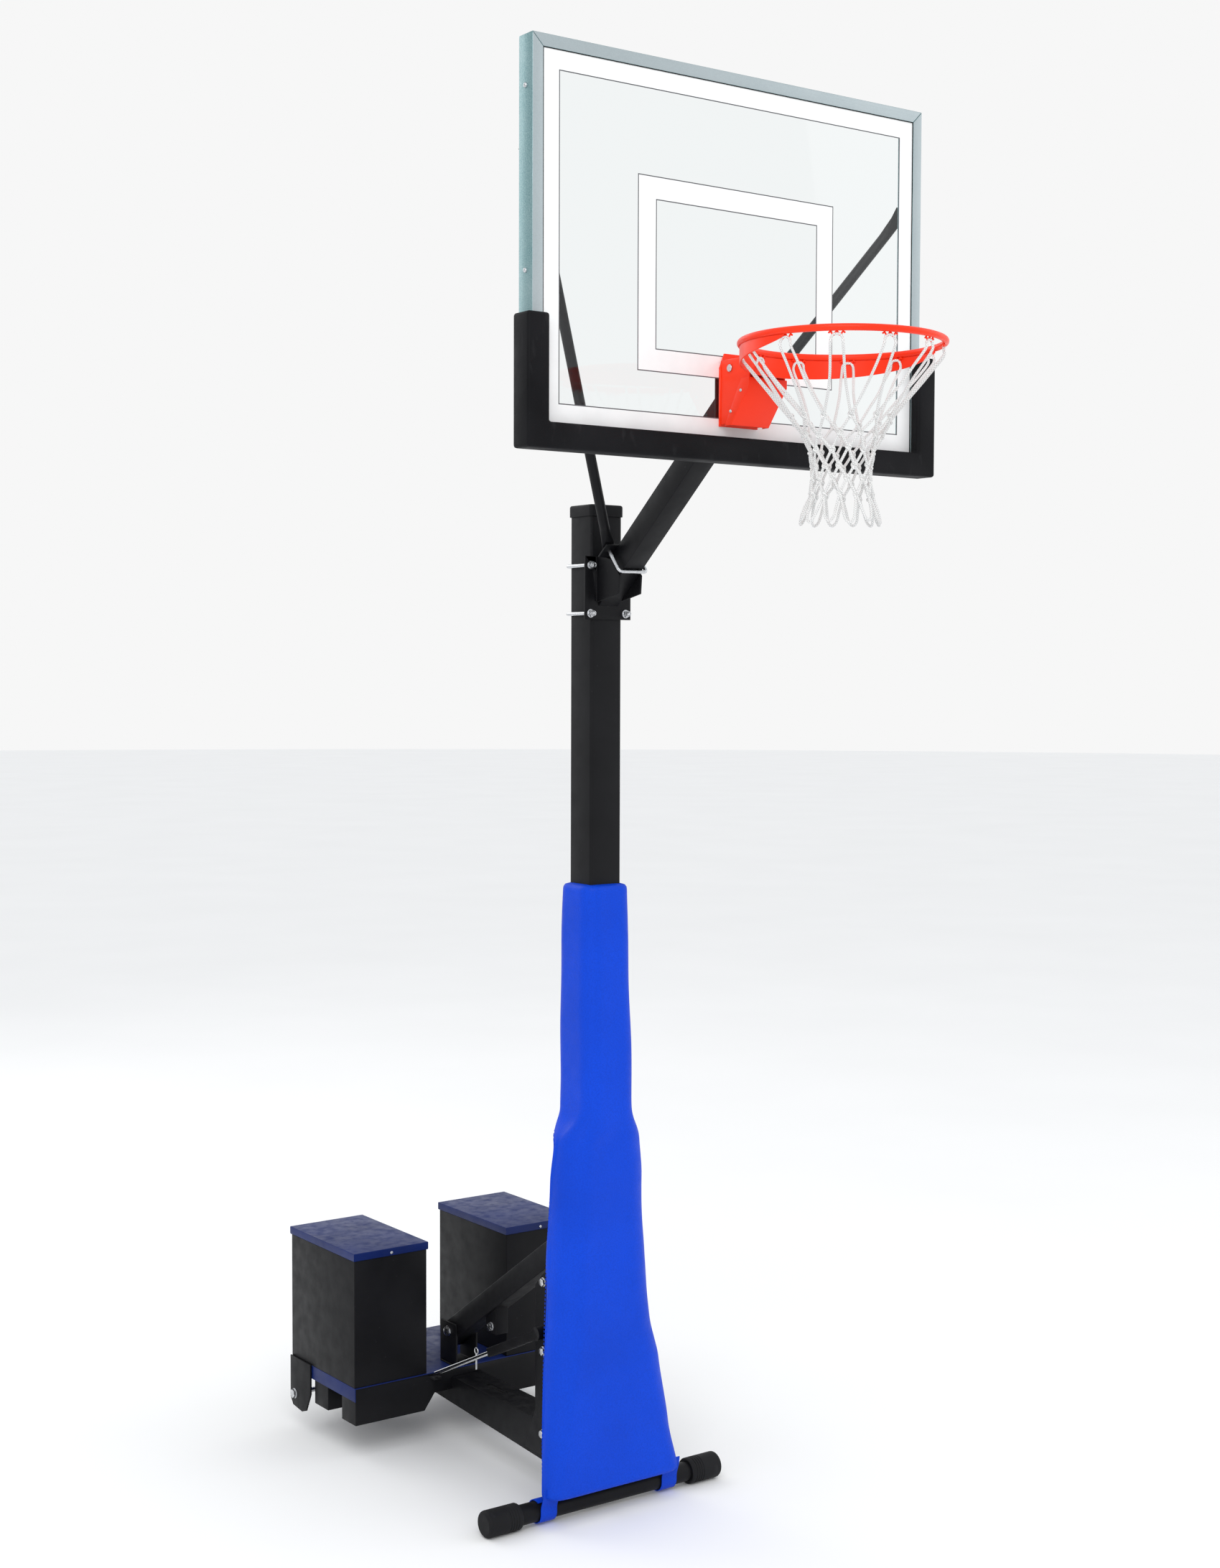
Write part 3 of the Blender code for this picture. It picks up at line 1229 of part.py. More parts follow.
def main():
    clear_scene()
    root = empty("hoop_root", (0, FRAME_SHIFT, 0))
    slide = empty("height_slide", (0, 0, CLAMP_BOTTOM), root)
    hinge = empty("rim_hinge", (0, HINGE_Y, HINGE_Z), root)
    lever_axis = empty("lever_axis", (0, *LEVER_PIVOT), root)
    left_axis = empty("wheel_axis_left", (-WHEEL_X, AXLE_Y, AXLE_Z), root)
    right_axis = empty("wheel_axis_right", (WHEEL_X, AXLE_Y, AXLE_Z), root)

    sheet = backboard(slide)
    bracket = rim_housing(slide)
    rim_spring(slide)
    _, end_plate = boom(slide)
    rim_bolts(slide, (sheet, bracket, end_plate))
    clamp(slide)
    _, leg_x = saddle(slide)
    stay("board_brace_left", -1, leg_x, slide)
    stay("board_brace_right", 1, leg_x, slide)

    ring_plate(hinge)
    ring(hinge)
    ring_brace(hinge)
    net(hinge)

    mast(root)
    mast_pad(root)
    foot(root)
    rail(root)
    plate_outer = mast_plates(root)
    strut(root)
    lever_rest(cross_beam("crossbeam_front", BEAM_FRONT_Y[0], root))
    cross_beam("crossbeam_rear", BEAM_FRONT_Y[1], root)
    deck(root)
    ballast("left", -1, root)
    ballast("right", 1, root)
    running_gear(root, left_axis, right_axis)
    lever(lever_axis, plate_outer)


main()
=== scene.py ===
"""Looks of a portable basketball hoop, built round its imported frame.

Sizes are in metres. The rim faces -Y and the ballast boxes stand at +Y. Each sub-assembly is a
class that builds its meshes and dresses them, and each finish is a small class of its own.
"""

from __future__ import annotations

import logging
import math
import random
from dataclasses import dataclass, field
from enum import Enum
from typing import Callable, Iterable, Sequence

import bmesh
import bpy
from mathutils import Matrix, Vector


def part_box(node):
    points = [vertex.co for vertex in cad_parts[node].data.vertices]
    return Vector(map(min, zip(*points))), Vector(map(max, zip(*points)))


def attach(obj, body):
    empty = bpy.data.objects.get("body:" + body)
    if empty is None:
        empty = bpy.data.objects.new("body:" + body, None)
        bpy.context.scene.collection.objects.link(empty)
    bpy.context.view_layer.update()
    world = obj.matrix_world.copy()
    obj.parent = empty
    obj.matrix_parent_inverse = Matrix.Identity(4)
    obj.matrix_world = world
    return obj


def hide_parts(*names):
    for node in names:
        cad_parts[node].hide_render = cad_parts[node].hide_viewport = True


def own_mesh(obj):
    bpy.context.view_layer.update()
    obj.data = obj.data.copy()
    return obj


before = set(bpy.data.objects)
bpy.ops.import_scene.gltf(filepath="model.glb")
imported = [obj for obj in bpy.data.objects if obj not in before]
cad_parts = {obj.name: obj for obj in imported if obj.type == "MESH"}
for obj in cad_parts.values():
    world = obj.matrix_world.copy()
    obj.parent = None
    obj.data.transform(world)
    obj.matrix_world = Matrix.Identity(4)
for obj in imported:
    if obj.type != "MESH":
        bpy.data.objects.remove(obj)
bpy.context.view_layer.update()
log = logging.getLogger("hoop")

BASE, ARM, RIM, LEVER = "base", "arm", "rim", "lever"
WHEEL_BODIES = {"left": "wheel_l", "right": "wheel_r"}
CLEAR = 0.0003  # the gap between pieces that touch
Pair = tuple[float, float]


class Axis(Enum):
    """The three directions of the frame, as the index of their coordinate."""

    X = 0
    Y = 1
    Z = 2

    def unit(self) -> Vector:
        """The axis as a unit vector."""
        return Vector([1.0 if i == self.value else 0.0 for i in range(3)])

    def place(self, along: float, across: Pair) -> Vector:
        """A point from its distance along the axis and its other two coordinates."""
        values = list(across)
        values.insert(self.value, along)
        return Vector(values)


# ------------------------------------------------------------------ finishes


class Nodes:
    """A short way to write the node tree of one material."""

    def __init__(self, name: str) -> None:
        """Starts an empty material.

        Args:
            name: the material's name.
        """
        self.material = bpy.data.materials.new(name)
        self.material.use_nodes = True
        self.tree = self.material.node_tree
        self.tree.nodes.clear()
        self.out = self.tree.nodes.new("ShaderNodeOutputMaterial")
        self.where = self.tree.nodes.new("ShaderNodeTexCoord")

    def add(self, kind: str, **settings: object) -> bpy.types.Node:
        """Adds a node; settings with a known attribute set it, and the rest set inputs.

        Args:
            kind: the node's type without its ShaderNode prefix.
            **settings: attributes, or inputs with underscores for spaces.

        Returns:
            The new node.
        """
        node = self.tree.nodes.new("ShaderNode" + kind)
        for key, value in settings.items():
            if hasattr(node, key):
                setattr(node, key, value)
                continue
            socket = node.inputs[key.replace("_", " ")]
            if isinstance(value, bpy.types.NodeSocket):
                self.tree.links.new(value, socket)
            else:
                socket.default_value = value
        return node

    def spot(self, scale: Sequence[float]) -> bpy.types.NodeSocket:
        """The object's own coordinates, stretched by a scale on each axis."""
        mapping = self.add("Mapping", Vector=self.where.outputs["Object"])
        mapping.inputs["Scale"].default_value = tuple(scale)
        return mapping.outputs[0]

    def noise(self, scale: float, detail: float = 3.0, stretch: Sequence[float] = (1, 1, 1)):
        """A noise value.

        Args:
            scale: how many features there are in a metre.
            detail: its octaves.
            stretch: a factor on each axis.

        Returns:
            The socket of the value.
        """
        at = self.spot(stretch)
        return self.add("TexNoise", Vector=at, Scale=scale, Detail=detail).outputs[0]

    def ramp(self, value: bpy.types.NodeSocket, low: float, high: float, to: Pair = (0.0, 1.0)):
        """Maps a value from low and high to another span, kept within it."""
        node = self.add("MapRange", Value=value, clamp=True)
        for key, number in zip(("From Min", "From Max", "To Min", "To Max"), (low, high, *to)):
            node.inputs[key].default_value = number
        return node.outputs[0]

    def mix(self, share: object, first: object, second: object) -> bpy.types.NodeSocket:
        """A colour between two, by a share.

        Args:
            share: a number or a socket.
            first: the colour at 0, as three numbers or a socket.
            second: the colour at 1.

        Returns:
            The socket of the colour.
        """
        node = self.tree.nodes.new("ShaderNodeMix")
        node.data_type = "RGBA"
        for index, value in ((0, share), (6, first), (7, second)):
            if isinstance(value, bpy.types.NodeSocket):
                self.tree.links.new(value, node.inputs[index])
            elif index:
                node.inputs[index].default_value = (*value, 1.0)
            else:
                node.inputs[index].default_value = value
        return node.outputs[2]

    def times(self, first: object, second: object) -> bpy.types.NodeSocket:
        """The product of two values."""
        return self.math("MULTIPLY", first, second)

    def math(self, operation: str, first: object, second: object) -> bpy.types.NodeSocket:
        """A sum in one Math node.

        Args:
            operation: Blender's name of the operation.
            first: a number or a socket.
            second: a number or a socket.

        Returns:
            The socket of the result.
        """
        node = self.add("Math", operation=operation)
        for index, value in enumerate((first, second)):
            if isinstance(value, bpy.types.NodeSocket):
                self.tree.links.new(value, node.inputs[index])
            else:
                node.inputs[index].default_value = value
        return node.outputs[0]

    def bump(self, height: bpy.types.NodeSocket, distance: float, strength: float = 1.0):
        """A normal from a height, which is a share of the distance in metres."""
        node = self.add("Bump", Height=height, Distance=distance, Strength=strength)
        return node.outputs[0]

    def surface(self, **inputs: object) -> bpy.types.Material:
        """Ends the material with a Principled shader.

        Args:
            **inputs: its inputs, with underscores for spaces.

        Returns:
            The material.
        """
        shader = self.add("BsdfPrincipled", **inputs)
        self.tree.links.new(shader.outputs[0], self.out.inputs[0])
        return self.material


@dataclass(frozen=True)
class PowderCoat:
    """Satin powder coat on steel: fine orange peel, dust on top faces and small worn chips."""

    name: str
    colour: tuple[float, float, float]
    worn: tuple[float, float, float]
    slot: str
    roughness: float = 0.42
    specular: float = 0.3
    chips: float = 0.7
    dust: float = 0.35
    coat: float = 0.0

    def build(self) -> bpy.types.Material:
        """The material."""
        n = Nodes(self.name)
        cloud = n.ramp(n.noise(5, 4), 0.3, 0.7)
        paler = tuple(min(1.0, c * 1.45 + 0.002) for c in self.colour)
        colour = n.mix(cloud, self.colour, paler)
        up = n.add("SeparateXYZ", Vector=n.add("NewGeometry").outputs["Normal"]).outputs[2]
        dust = n.times(n.ramp(up, 0.75, 1.0), n.ramp(n.noise(38, 6), 0.46, 0.72))
        grey = tuple(c * 0.75 + 0.028 for c in self.colour)
        colour = n.mix(n.times(dust, self.dust), colour, grey)
        chip = n.ramp(n.noise(120, 5), self.chips, self.chips + 0.03)
        colour = n.mix(chip, colour, self.worn)
        rough = n.ramp(n.noise(26, 4), 0.3, 0.7, (self.roughness - 0.06, self.roughness + 0.08))
        rough = n.math("ADD", rough, n.times(dust, 0.2))
        peel = n.bump(n.noise(750, 2), 0.00022, 0.55)
        return n.surface(
            Base_Color=colour,
            Roughness=rough,
            Normal=peel,
            Specular_IOR_Level=self.specular,
            Coat_Weight=self.coat,
            Coat_Roughness=0.15,
        )


@dataclass(frozen=True)
class DrawnAluminium:
    """Extruded aluminium with drawing lines along one axis, a faint blue-green tinge and a painted highlight on its
    front faces.
    """

    name: str
    along: Axis
    slot: str = "aluminium"

    def build(self) -> bpy.types.Material:
        """The material."""
        n = Nodes(self.name)
        stretch = [1.0, 1.0, 1.0]
        stretch[self.along.value] = 0.012
        lines = n.noise(1500, 2, stretch)
        speckle = n.ramp(n.noise(330, 5), 0.35, 0.65)
        patch = n.ramp(n.noise(7, 3), 0.35, 0.65)
        colour = n.mix(speckle, (0.13, 0.25, 0.265), (0.24, 0.37, 0.385))
        colour = n.mix(n.times(patch, 0.35), colour, (0.36, 0.45, 0.46))
        # Painted highlight: faces that look towards -Y are mixed towards pale silver, as if lit, so the frame's front
        # lip reads brighter than its sides.
        normal = n.add("NewGeometry").outputs["Normal"]
        ahead = n.add("SeparateXYZ", Vector=normal).outputs[1]
        front = n.ramp(ahead, -0.8, -0.95, (0.0, 0.75))
        colour = n.mix(front, colour, (0.50, 0.54, 0.56))
        rough = n.ramp(lines, 0.3, 0.7, (0.30, 0.46))
        relief = n.bump(lines, 0.00012, 0.5)
        return n.surface(Base_Color=colour, Metallic=0.75, Roughness=rough, Normal=relief)


@dataclass(frozen=True)
class Plated:
    """Zinc or chrome plate with a faint spangle."""

    name: str
    colour: tuple[float, float, float]
    roughness: float
    slot: str = "zinc"

    def build(self) -> bpy.types.Material:
        """The material."""
        n = Nodes(self.name)
        spangle = n.ramp(n.noise(210, 4), 0.3, 0.7)
        duller = tuple(c * 0.72 for c in self.colour)
        rough = n.ramp(n.noise(90, 4), 0.3, 0.7, (self.roughness * 0.7, self.roughness * 1.5))
        return n.surface(
            Base_Color=n.mix(spangle, duller, self.colour),
            Metallic=1.0,
            Roughness=rough,
            Normal=n.bump(n.noise(520, 3), 0.0001, 0.4),
        )


@dataclass(frozen=True)
class Vinyl:
    """Coated fabric: a pebbled grain over a fine weave, with slow colour drift."""

    name: str
    colour: tuple[float, float, float]
    slot: str = "blue_vinyl"
    weave: float = 420.0

    def build(self) -> bpy.types.Material:
        """The material."""
        n = Nodes(self.name)
        drift = n.ramp(n.noise(3.2, 4), 0.3, 0.7)
        deeper = tuple(c * 0.80 for c in self.colour)
        colour = n.mix(drift, deeper, self.colour)
        speck = n.ramp(n.noise(260, 6), 0.42, 0.62)
        colour = n.mix(n.times(speck, 0.35), colour, tuple(c * 0.62 for c in self.colour))
        cell = n.add("TexVoronoi", Vector=n.where.outputs["Object"], Scale=self.weave)
        grain = n.ramp(cell.outputs["Distance"], 0.1, 0.65, (1.0, 0.0))
        height = n.math("ADD", n.times(grain, 0.7), n.times(n.noise(140, 5), 0.6))
        rough = n.ramp(n.noise(30, 4), 0.3, 0.7, (0.42, 0.56))
        return n.surface(
            Base_Color=colour,
            Roughness=rough,
            Normal=n.bump(height, 0.00045, 0.6),
            Specular_IOR_Level=0.14,
        )


@dataclass(frozen=True)
class BraidedCord:
    """White braided nylon: two crossing lays of strands along each cord, with painted shade in the grooves between the
    strands.
    """

    name: str
    colour: tuple[float, float, float]
    slot: str = "net_white"

    def build(self) -> bpy.types.Material:
        """The material."""
        n = Nodes(self.name)
        apart = n.add("SeparateXYZ", Vector=n.where.outputs["UV"])
        around, along = apart.outputs[0], apart.outputs[1]
        lays = []
        for turn in (1.0, -1.0):
            phase = n.math("ADD", n.times(around, turn * 3.0 * 2 * math.pi), n.times(along, 1100.0))
            lays.append(n.math("SINE", phase, 0.0))
        braid = n.math("MAXIMUM", *lays)
        # Painted shade: where the braid is low, between the strands, the cord is darkened to 70 per cent of its
        # colour.
        painted_groove_shade = n.ramp(braid, 0.1, 0.75)
        soil = n.ramp(n.noise(22, 4), 0.5, 0.75)
        colour = n.mix(painted_groove_shade, tuple(c * 0.70 for c in self.colour), self.colour)
        colour = n.mix(n.times(soil, 0.25), colour, (0.62, 0.57, 0.54))
        return n.surface(
            Base_Color=colour,
            Roughness=0.8,
            Normal=n.bump(braid, 0.0007, 0.8),
            Sheen_Weight=0.25,
        )


@dataclass(frozen=True)
class Moulded:
    """A moulded black skin: rubber, foam skin or plastic, with a fine pebble."""

    name: str
    colour: tuple[float, float, float]
    slot: str
    roughness: float = 0.6
    pebble: float = 520.0
    depth: float = 0.0003
    specular: float = 0.3

    def build(self) -> bpy.types.Material:
        """The material."""
        n = Nodes(self.name)
        cloud = n.ramp(n.noise(9, 5), 0.35, 0.7)
        colour = n.mix(cloud, self.colour, tuple(c * 1.7 + 0.003 for c in self.colour))
        scuff = n.ramp(n.noise(46, 7, (1, 1, 0.35)), 0.60, 0.74)
        colour = n.mix(n.times(scuff, 0.35), colour, tuple(c * 2.2 + 0.02 for c in self.colour))
        cell = n.add("TexVoronoi", Vector=n.where.outputs["Object"], Scale=self.pebble)
        rough = n.ramp(n.noise(18, 4), 0.3, 0.7, (self.roughness - 0.08, self.roughness + 0.1))
        return n.surface(
            Base_Color=colour,
            Roughness=rough,
            Normal=n.bump(cell.outputs["Distance"], self.depth, 0.5),
            Specular_IOR_Level=self.specular,
        )


@dataclass(frozen=True)
class ScreenPrint:
    """Screen-printed paint with a slightly uneven film."""

    name: str
    colour: tuple[float, float, float]
    slot: str = "clear_acrylic"

    def build(self) -> bpy.types.Material:
        """The material."""
        n = Nodes(self.name)
        film = n.ramp(n.noise(14, 5), 0.3, 0.7)
        colour = n.mix(film, tuple(c * 0.93 for c in self.colour), self.colour)
        return n.surface(
            Base_Color=colour, Roughness=0.38, Normal=n.bump(n.noise(420, 3), 0.0001, 0.35)
        )


@dataclass(frozen=True)
class ClearSheet:
    """Clear acrylic: it lets light straight through, and mirrors more at a low angle."""

    name: str
    slot: str = "clear_acrylic"

    def build(self) -> bpy.types.Material:
        """The material."""
        n = Nodes(self.name)
        haze = n.ramp(n.noise(3.0, 3), 0.3, 0.7, (0.015, 0.05))
        through = n.add("BsdfTransparent", Color=(0.975, 0.99, 0.99, 1.0))
        gloss = n.add("BsdfGlossy", Color=(1.0, 1.0, 1.0, 1.0), Roughness=haze)
        facing = n.add("Fresnel", IOR=1.49).outputs[0]
        entering = n.math("SUBTRACT", 1.0, n.add("NewGeometry").outputs["Backfacing"])
        both = n.add("MixShader", Fac=n.times(facing, entering))
        n.tree.links.new(through.outputs[0], both.inputs[1])
        n.tree.links.new(gloss.outputs[0], both.inputs[2])
        n.tree.links.new(both.outputs[0], n.out.inputs[0])
        return n.material


@dataclass(frozen=True)
class PlainBackdrop:
    """The pale studio floor."""

    name: str

    def build(self) -> bpy.types.Material:
        """The material."""
        n = Nodes(self.name)
        colour = n.mix(n.ramp(n.noise(0.8, 3), 0.3, 0.7), (0.94, 0.94, 0.94), (0.96, 0.96, 0.96))
        return n.surface(Base_Color=colour, Roughness=0.85, Specular_IOR_Level=0.1)


Finish = PowderCoat | DrawnAluminium | Plated | Vinyl | BraidedCord | Moulded | ScreenPrint | ClearSheet

BLACK_COAT = PowderCoat(
    "black_powder_coat", (0.0035, 0.0035, 0.0045), (0.03, 0.03, 0.032), "black_steel", 0.46, 0.16, 0.72, 0.2
)
# Painted reflection: the lids and deck are black steel; this dark blue stands in for the blue reflection on their
# upward faces.
BLUE_REFLECTION_COAT = PowderCoat(
    "black_coat_painted_blue_reflection", (0.003, 0.012, 0.085), (0.03, 0.04, 0.09), "black_steel", 0.38, 0.2, 0.72, 0.15
)
RIM_COAT = PowderCoat(
    "rim_orange_coat", (0.88, 0.026, 0.002), (0.70, 0.06, 0.02), "rim_red", 0.34, 0.22, 0.74, 0.0, 0.08
)
BAR_ACROSS = DrawnAluminium("aluminium_across", Axis.X)
BAR_UP = DrawnAluminium("aluminium_up", Axis.Z)
ZINC = Plated("zinc_plate", (0.70, 0.71, 0.73), 0.26)
CHROME = Plated("chrome_plate", (0.86, 0.87, 0.89), 0.10)
BLUE_VINYL = Vinyl("blue_vinyl", (0.0015, 0.064, 0.70))
BLUE_WEBBING = Vinyl("blue_webbing", (0.0015, 0.058, 0.64), weave=260.0)
NET_CORD = BraidedCord("braided_cord", (0.90, 0.90, 0.89))
FOAM_SKIN = Moulded("foam_skin", (0.003, 0.003, 0.004), "black_foam", 0.6, 380.0, 0.0004, 0.12)
RUBBER = Moulded("black_rubber", (0.005, 0.005, 0.006), "black_rubber", 0.6, specular=0.16)
CAP_PLASTIC = Moulded("cap_plastic", (0.004, 0.004, 0.005), "black_rubber", 0.5, 700.0, 0.0002, 0.16)
TYRE = Moulded("tyre_rubber", (0.012, 0.012, 0.012), "tyre", 0.72, 300.0, 0.0005)
WHITE_PRINT = ScreenPrint("white_print", (0.92, 0.93, 0.93))
GREY_PRINT = ScreenPrint("grey_print", (0.10, 0.10, 0.11))
CLEAR_SHEET = ClearSheet("clear_acrylic")


class PaintShop:
    """Makes each finish's material once and puts it on pieces."""

    def __init__(self) -> None:
        """Starts with no material made."""
        self.made: dict[str, bpy.types.Material] = {}

    def material(self, finish: Finish | PlainBackdrop) -> bpy.types.Material:
        """The finish's material."""
        if finish.name not in self.made:
            self.made[finish.name] = finish.build()
        return self.made[finish.name]

    def dress(self, piece: bpy.types.Object, finish: Finish) -> None:
        """Puts a finish on a piece.

        Args:
            piece: the mesh object.
            finish: what it is finished in.
        """
        piece.data.materials.clear()
        piece.data.materials.append(self.material(finish))


SHOP = PaintShop()


# ------------------------------------------------------------------ mesh code


def lattice(rows: Sequence[Sequence[Vector]], wrap_rows: bool, wrap_columns: bool) -> bmesh.types.BMesh:
    """Quads over a grid of points.

    Args:
        rows: equally long rows of points.
        wrap_rows: whether the last row joins the first.
        wrap_columns: whether each row closes on itself.

    Returns:
        The mesh, with a map of the lengths along and across in its UVs.
    """
    mesh = bmesh.new()
    grid = [[mesh.verts.new(point) for point in row] for row in rows]
    uv = mesh.loops.layers.uv.new("length")
    along = [0.0]
    for first, second in zip(rows, rows[1:]):
        along.append(along[-1] + (Vector(second[0]) - Vector(first[0])).length)
    height, width = len(grid), len(grid[0])
    for i in range(height if wrap_rows else height - 1):
        for j in range(width if wrap_columns else width - 1):
            k, m = (i + 1) % height, (j + 1) % width
            face = mesh.faces.new((grid[i][j], grid[i][m], grid[k][m], grid[k][j]))
            ends = ((j, i), (j + 1, i), (j + 1, i + 1), (j, i + 1))
            for loop, (around, step) in zip(face.loops, ends):
                far = along[step] if step < height else along[-1]
                loop[uv].uv = (around / width, far)
    if wrap_columns and not wrap_rows:
        mesh.faces.new(grid[0][::-1])
        mesh.faces.new(grid[-1])
    return mesh


def ring_points(radius: float, sides: int) -> list[Pair]:
    """Points round a circle."""
    turn = [2 * math.pi * i / sides for i in range(sides)]
    return [(radius * math.cos(a), radius * math.sin(a)) for a in turn]


def turned(axis: Axis, centre: Pair, profile: Sequence[Pair], sides: int = 48) -> bmesh.types.BMesh:
    """A closed profile turned round an axis.

    Args:
        axis: the axis.
        centre: its other two coordinates.
        profile: points of (radius, distance along the axis).
        sides: how many steps there are round it.

    Returns:
        The mesh.
    """
    rows = []
    for cos, sin in ring_points(1.0, sides):
        row = [axis.place(at, (centre[0] + r * cos, centre[1] + r * sin)) for r, at in profile]
        rows.append(row)
    return lattice(rows, True, True)


def swept(path: Sequence[Vector], section: Callable[[float], Sequence[Pair]], closed: bool = False):
    """A section carried along a path without twisting.

    Args:
        path: the points.
        section: gives the section's points from its share of the way along.
        closed: whether the path joins up with itself.

    Returns:
        The mesh.
    """
    points = [Vector(p) for p in path]
    count = len(points)
    rows = []
    side: Vector | None = None
    for i, point in enumerate(points):
        ahead = points[(i + 1) % count] if closed else points[min(i + 1, count - 1)]
        behind = points[(i - 1) % count] if closed else points[max(i - 1, 0)]
        along = (ahead - behind).normalized()
        side = along.orthogonal() if side is None else side - along * side.dot(along)
        side.normalize()
        up = along.cross(side)
        rows.append([point + side * x + up * y for x, y in section(i / max(count - 1, 1))])
    return lattice(rows, closed, True)


def rod(path: Sequence[Vector], radius: float, sides: int = 16, closed: bool = False):
    """A round rod along a path, with eased ends.

    Args:
        path: the points.
        radius: its radius.
        sides: how many sides it has.
        closed: whether it is a ring.

    Returns:
        The mesh.
    """
    if closed:
        return swept(path, lambda share: ring_points(radius, sides), True)
    points = [Vector(p) for p in path]
    ease = min(radius * 0.35, (points[1] - points[0]).length * 0.4)
    first, last = (points[1] - points[0]).normalized(), (points[-2] - points[-1]).normalized()
    grown = [points[0], points[0] + first * ease, *points[1:-1], points[-1] + last * ease, points[-1]]
    count = len(grown) - 1
    ends = {0: 0.72, count: 0.72}
    return swept(grown, lambda share: ring_points(radius * ends.get(round(share * count), 1.0), sides))


def filleted(corners: Sequence[Vector], radius: float, steps: int = 8) -> list[Vector]:
    """A path whose inner corners are arcs.

    Args:
        corners: the path's corners.
        radius: the arcs' radius.
        steps: how many steps an arc has.

    Returns:
        The path's points.
    """
    path = [Vector(corners[0])]
    for before, corner, after in zip(corners, corners[1:], corners[2:]):
        corner = Vector(corner)
        come = (Vector(before) - corner).normalized()
        leave = (Vector(after) - corner).normalized()
        half = come.angle(leave) / 2
        reach = radius / math.tan(half)
        centre = corner + (come + leave).normalized() * radius / math.sin(half)
        start, end = corner + come * reach - centre, corner + leave * reach - centre
        path += [centre + start.slerp(end, i / steps).normalized() * radius for i in range(steps + 1)]
    path.append(Vector(corners[-1]))
    return path


def helix(start: Vector, end: Vector, radius: float, turns: float, steps: int) -> list[Vector]:
    """Points along a coil between two points."""
    along = end - start
    side = along.normalized().orthogonal()
    up = along.normalized().cross(side)
    path = []
    for i in range(steps + 1):
        a = 2 * math.pi * turns * i / steps
        path.append(start + along * i / steps + (side * math.cos(a) + up * math.sin(a)) * radius)
    return path


def joined(meshes: Iterable[bmesh.types.BMesh]) -> bmesh.types.BMesh:
    """Several meshes as one, each freed."""
    whole = bmesh.new()
    for part in meshes:
        data = bpy.data.meshes.new("part")
        part.to_mesh(data)
        part.free()
        whole.from_mesh(data)
        bpy.data.meshes.remove(data)
    return whole


def hex_prism(axis: Vector, foot: Vector, corner: float, height: float) -> bmesh.types.BMesh:
    """A hexagon nut or head whose outer corners are turned off.

    Args:
        axis: the direction that it stands in.
        foot: the centre of the face it sits on.
        corner: its radius to the corners.
        height: its height.

    Returns:
        The mesh.
    """
    side = axis.orthogonal().normalized()
    up = axis.cross(side)
    flat = corner * math.cos(math.pi / 6)
    steps = 36
    rows: list[list[Vector]] = [[], [], [], []]
    for i in range(steps):
        a = 2 * math.pi * i / steps
        reach = flat / math.cos((a + math.pi / 6) % (math.pi / 3) - math.pi / 6)
        out = side * math.cos(a) + up * math.sin(a)
        drop = (reach - flat * 0.96) * 0.55
        for row, (r, h) in zip(rows, ((reach, 0), (reach, height - drop), (flat * 0.9, height), (0.2 * flat, height))):
            row.append(foot + out * r + axis * h)
    return lattice(rows, False, True)


def piece(name: str, mesh: bmesh.types.BMesh, finish: Finish, body: str, *nodes: str, angle: float = 35.0):
    """An object from a mesh, dressed, riding on a body and standing for CAD nodes.

    Args:
        name: the piece's name.
        mesh: its mesh, which is freed.
        finish: its finish.
        body: the CAD body that it rides on.
        *nodes: the CAD nodes that it stands for.
        angle: edges sharper than this stay sharp, in degrees.

    Returns:
        The object.
    """
    bmesh.ops.recalc_face_normals(mesh, faces=mesh.faces)
    data = bpy.data.meshes.new(name)
    mesh.to_mesh(data)
    mesh.free()
    made = bpy.data.objects.new(name, data)
    bpy.context.scene.collection.objects.link(made)
    data.shade_smooth()
    data.set_sharp_from_angle(angle=math.radians(angle))
    SHOP.dress(made, finish)
    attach(made, body)
    if nodes:
        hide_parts(*nodes)
    log.info("built %s on %s", name, body)
    return made


def refined(node: str, finish: Finish, body: str, bevel: float = 0.0012, longest: float = 0.010):
    """A CAD node with its long sharp edges rounded.

    Args:
        node: the CAD node.
        finish: its finish.
        body: the CAD body that it rides on.
        bevel: how wide the rounding is.
        longest: edges shorter than this stay as they are.

    Returns:
        The object that stands for the node.
    """
    mesh = bmesh.new()
    mesh.from_mesh(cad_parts[node].data)
    bmesh.ops.remove_doubles(mesh, verts=mesh.verts, dist=2e-6)
    bmesh.ops.dissolve_limit(mesh, angle_limit=math.radians(0.5), verts=mesh.verts, edges=mesh.edges)
    sharp = [
        edge
        for edge in mesh.edges
        if edge.is_manifold and edge.calc_length() > longest and edge.calc_face_angle(0) > math.radians(40)
    ]
    if sharp and bevel:
        bmesh.ops.bevel(
            mesh, geom=sharp, offset=bevel, segments=3, profile=0.5, affect="EDGES", clamp_overlap=False
        )
    bmesh.ops.triangulate(mesh, faces=[f for f in mesh.faces if len(f.verts) > 4])
    return piece(f"{node}_finished", mesh, finish, body, node)


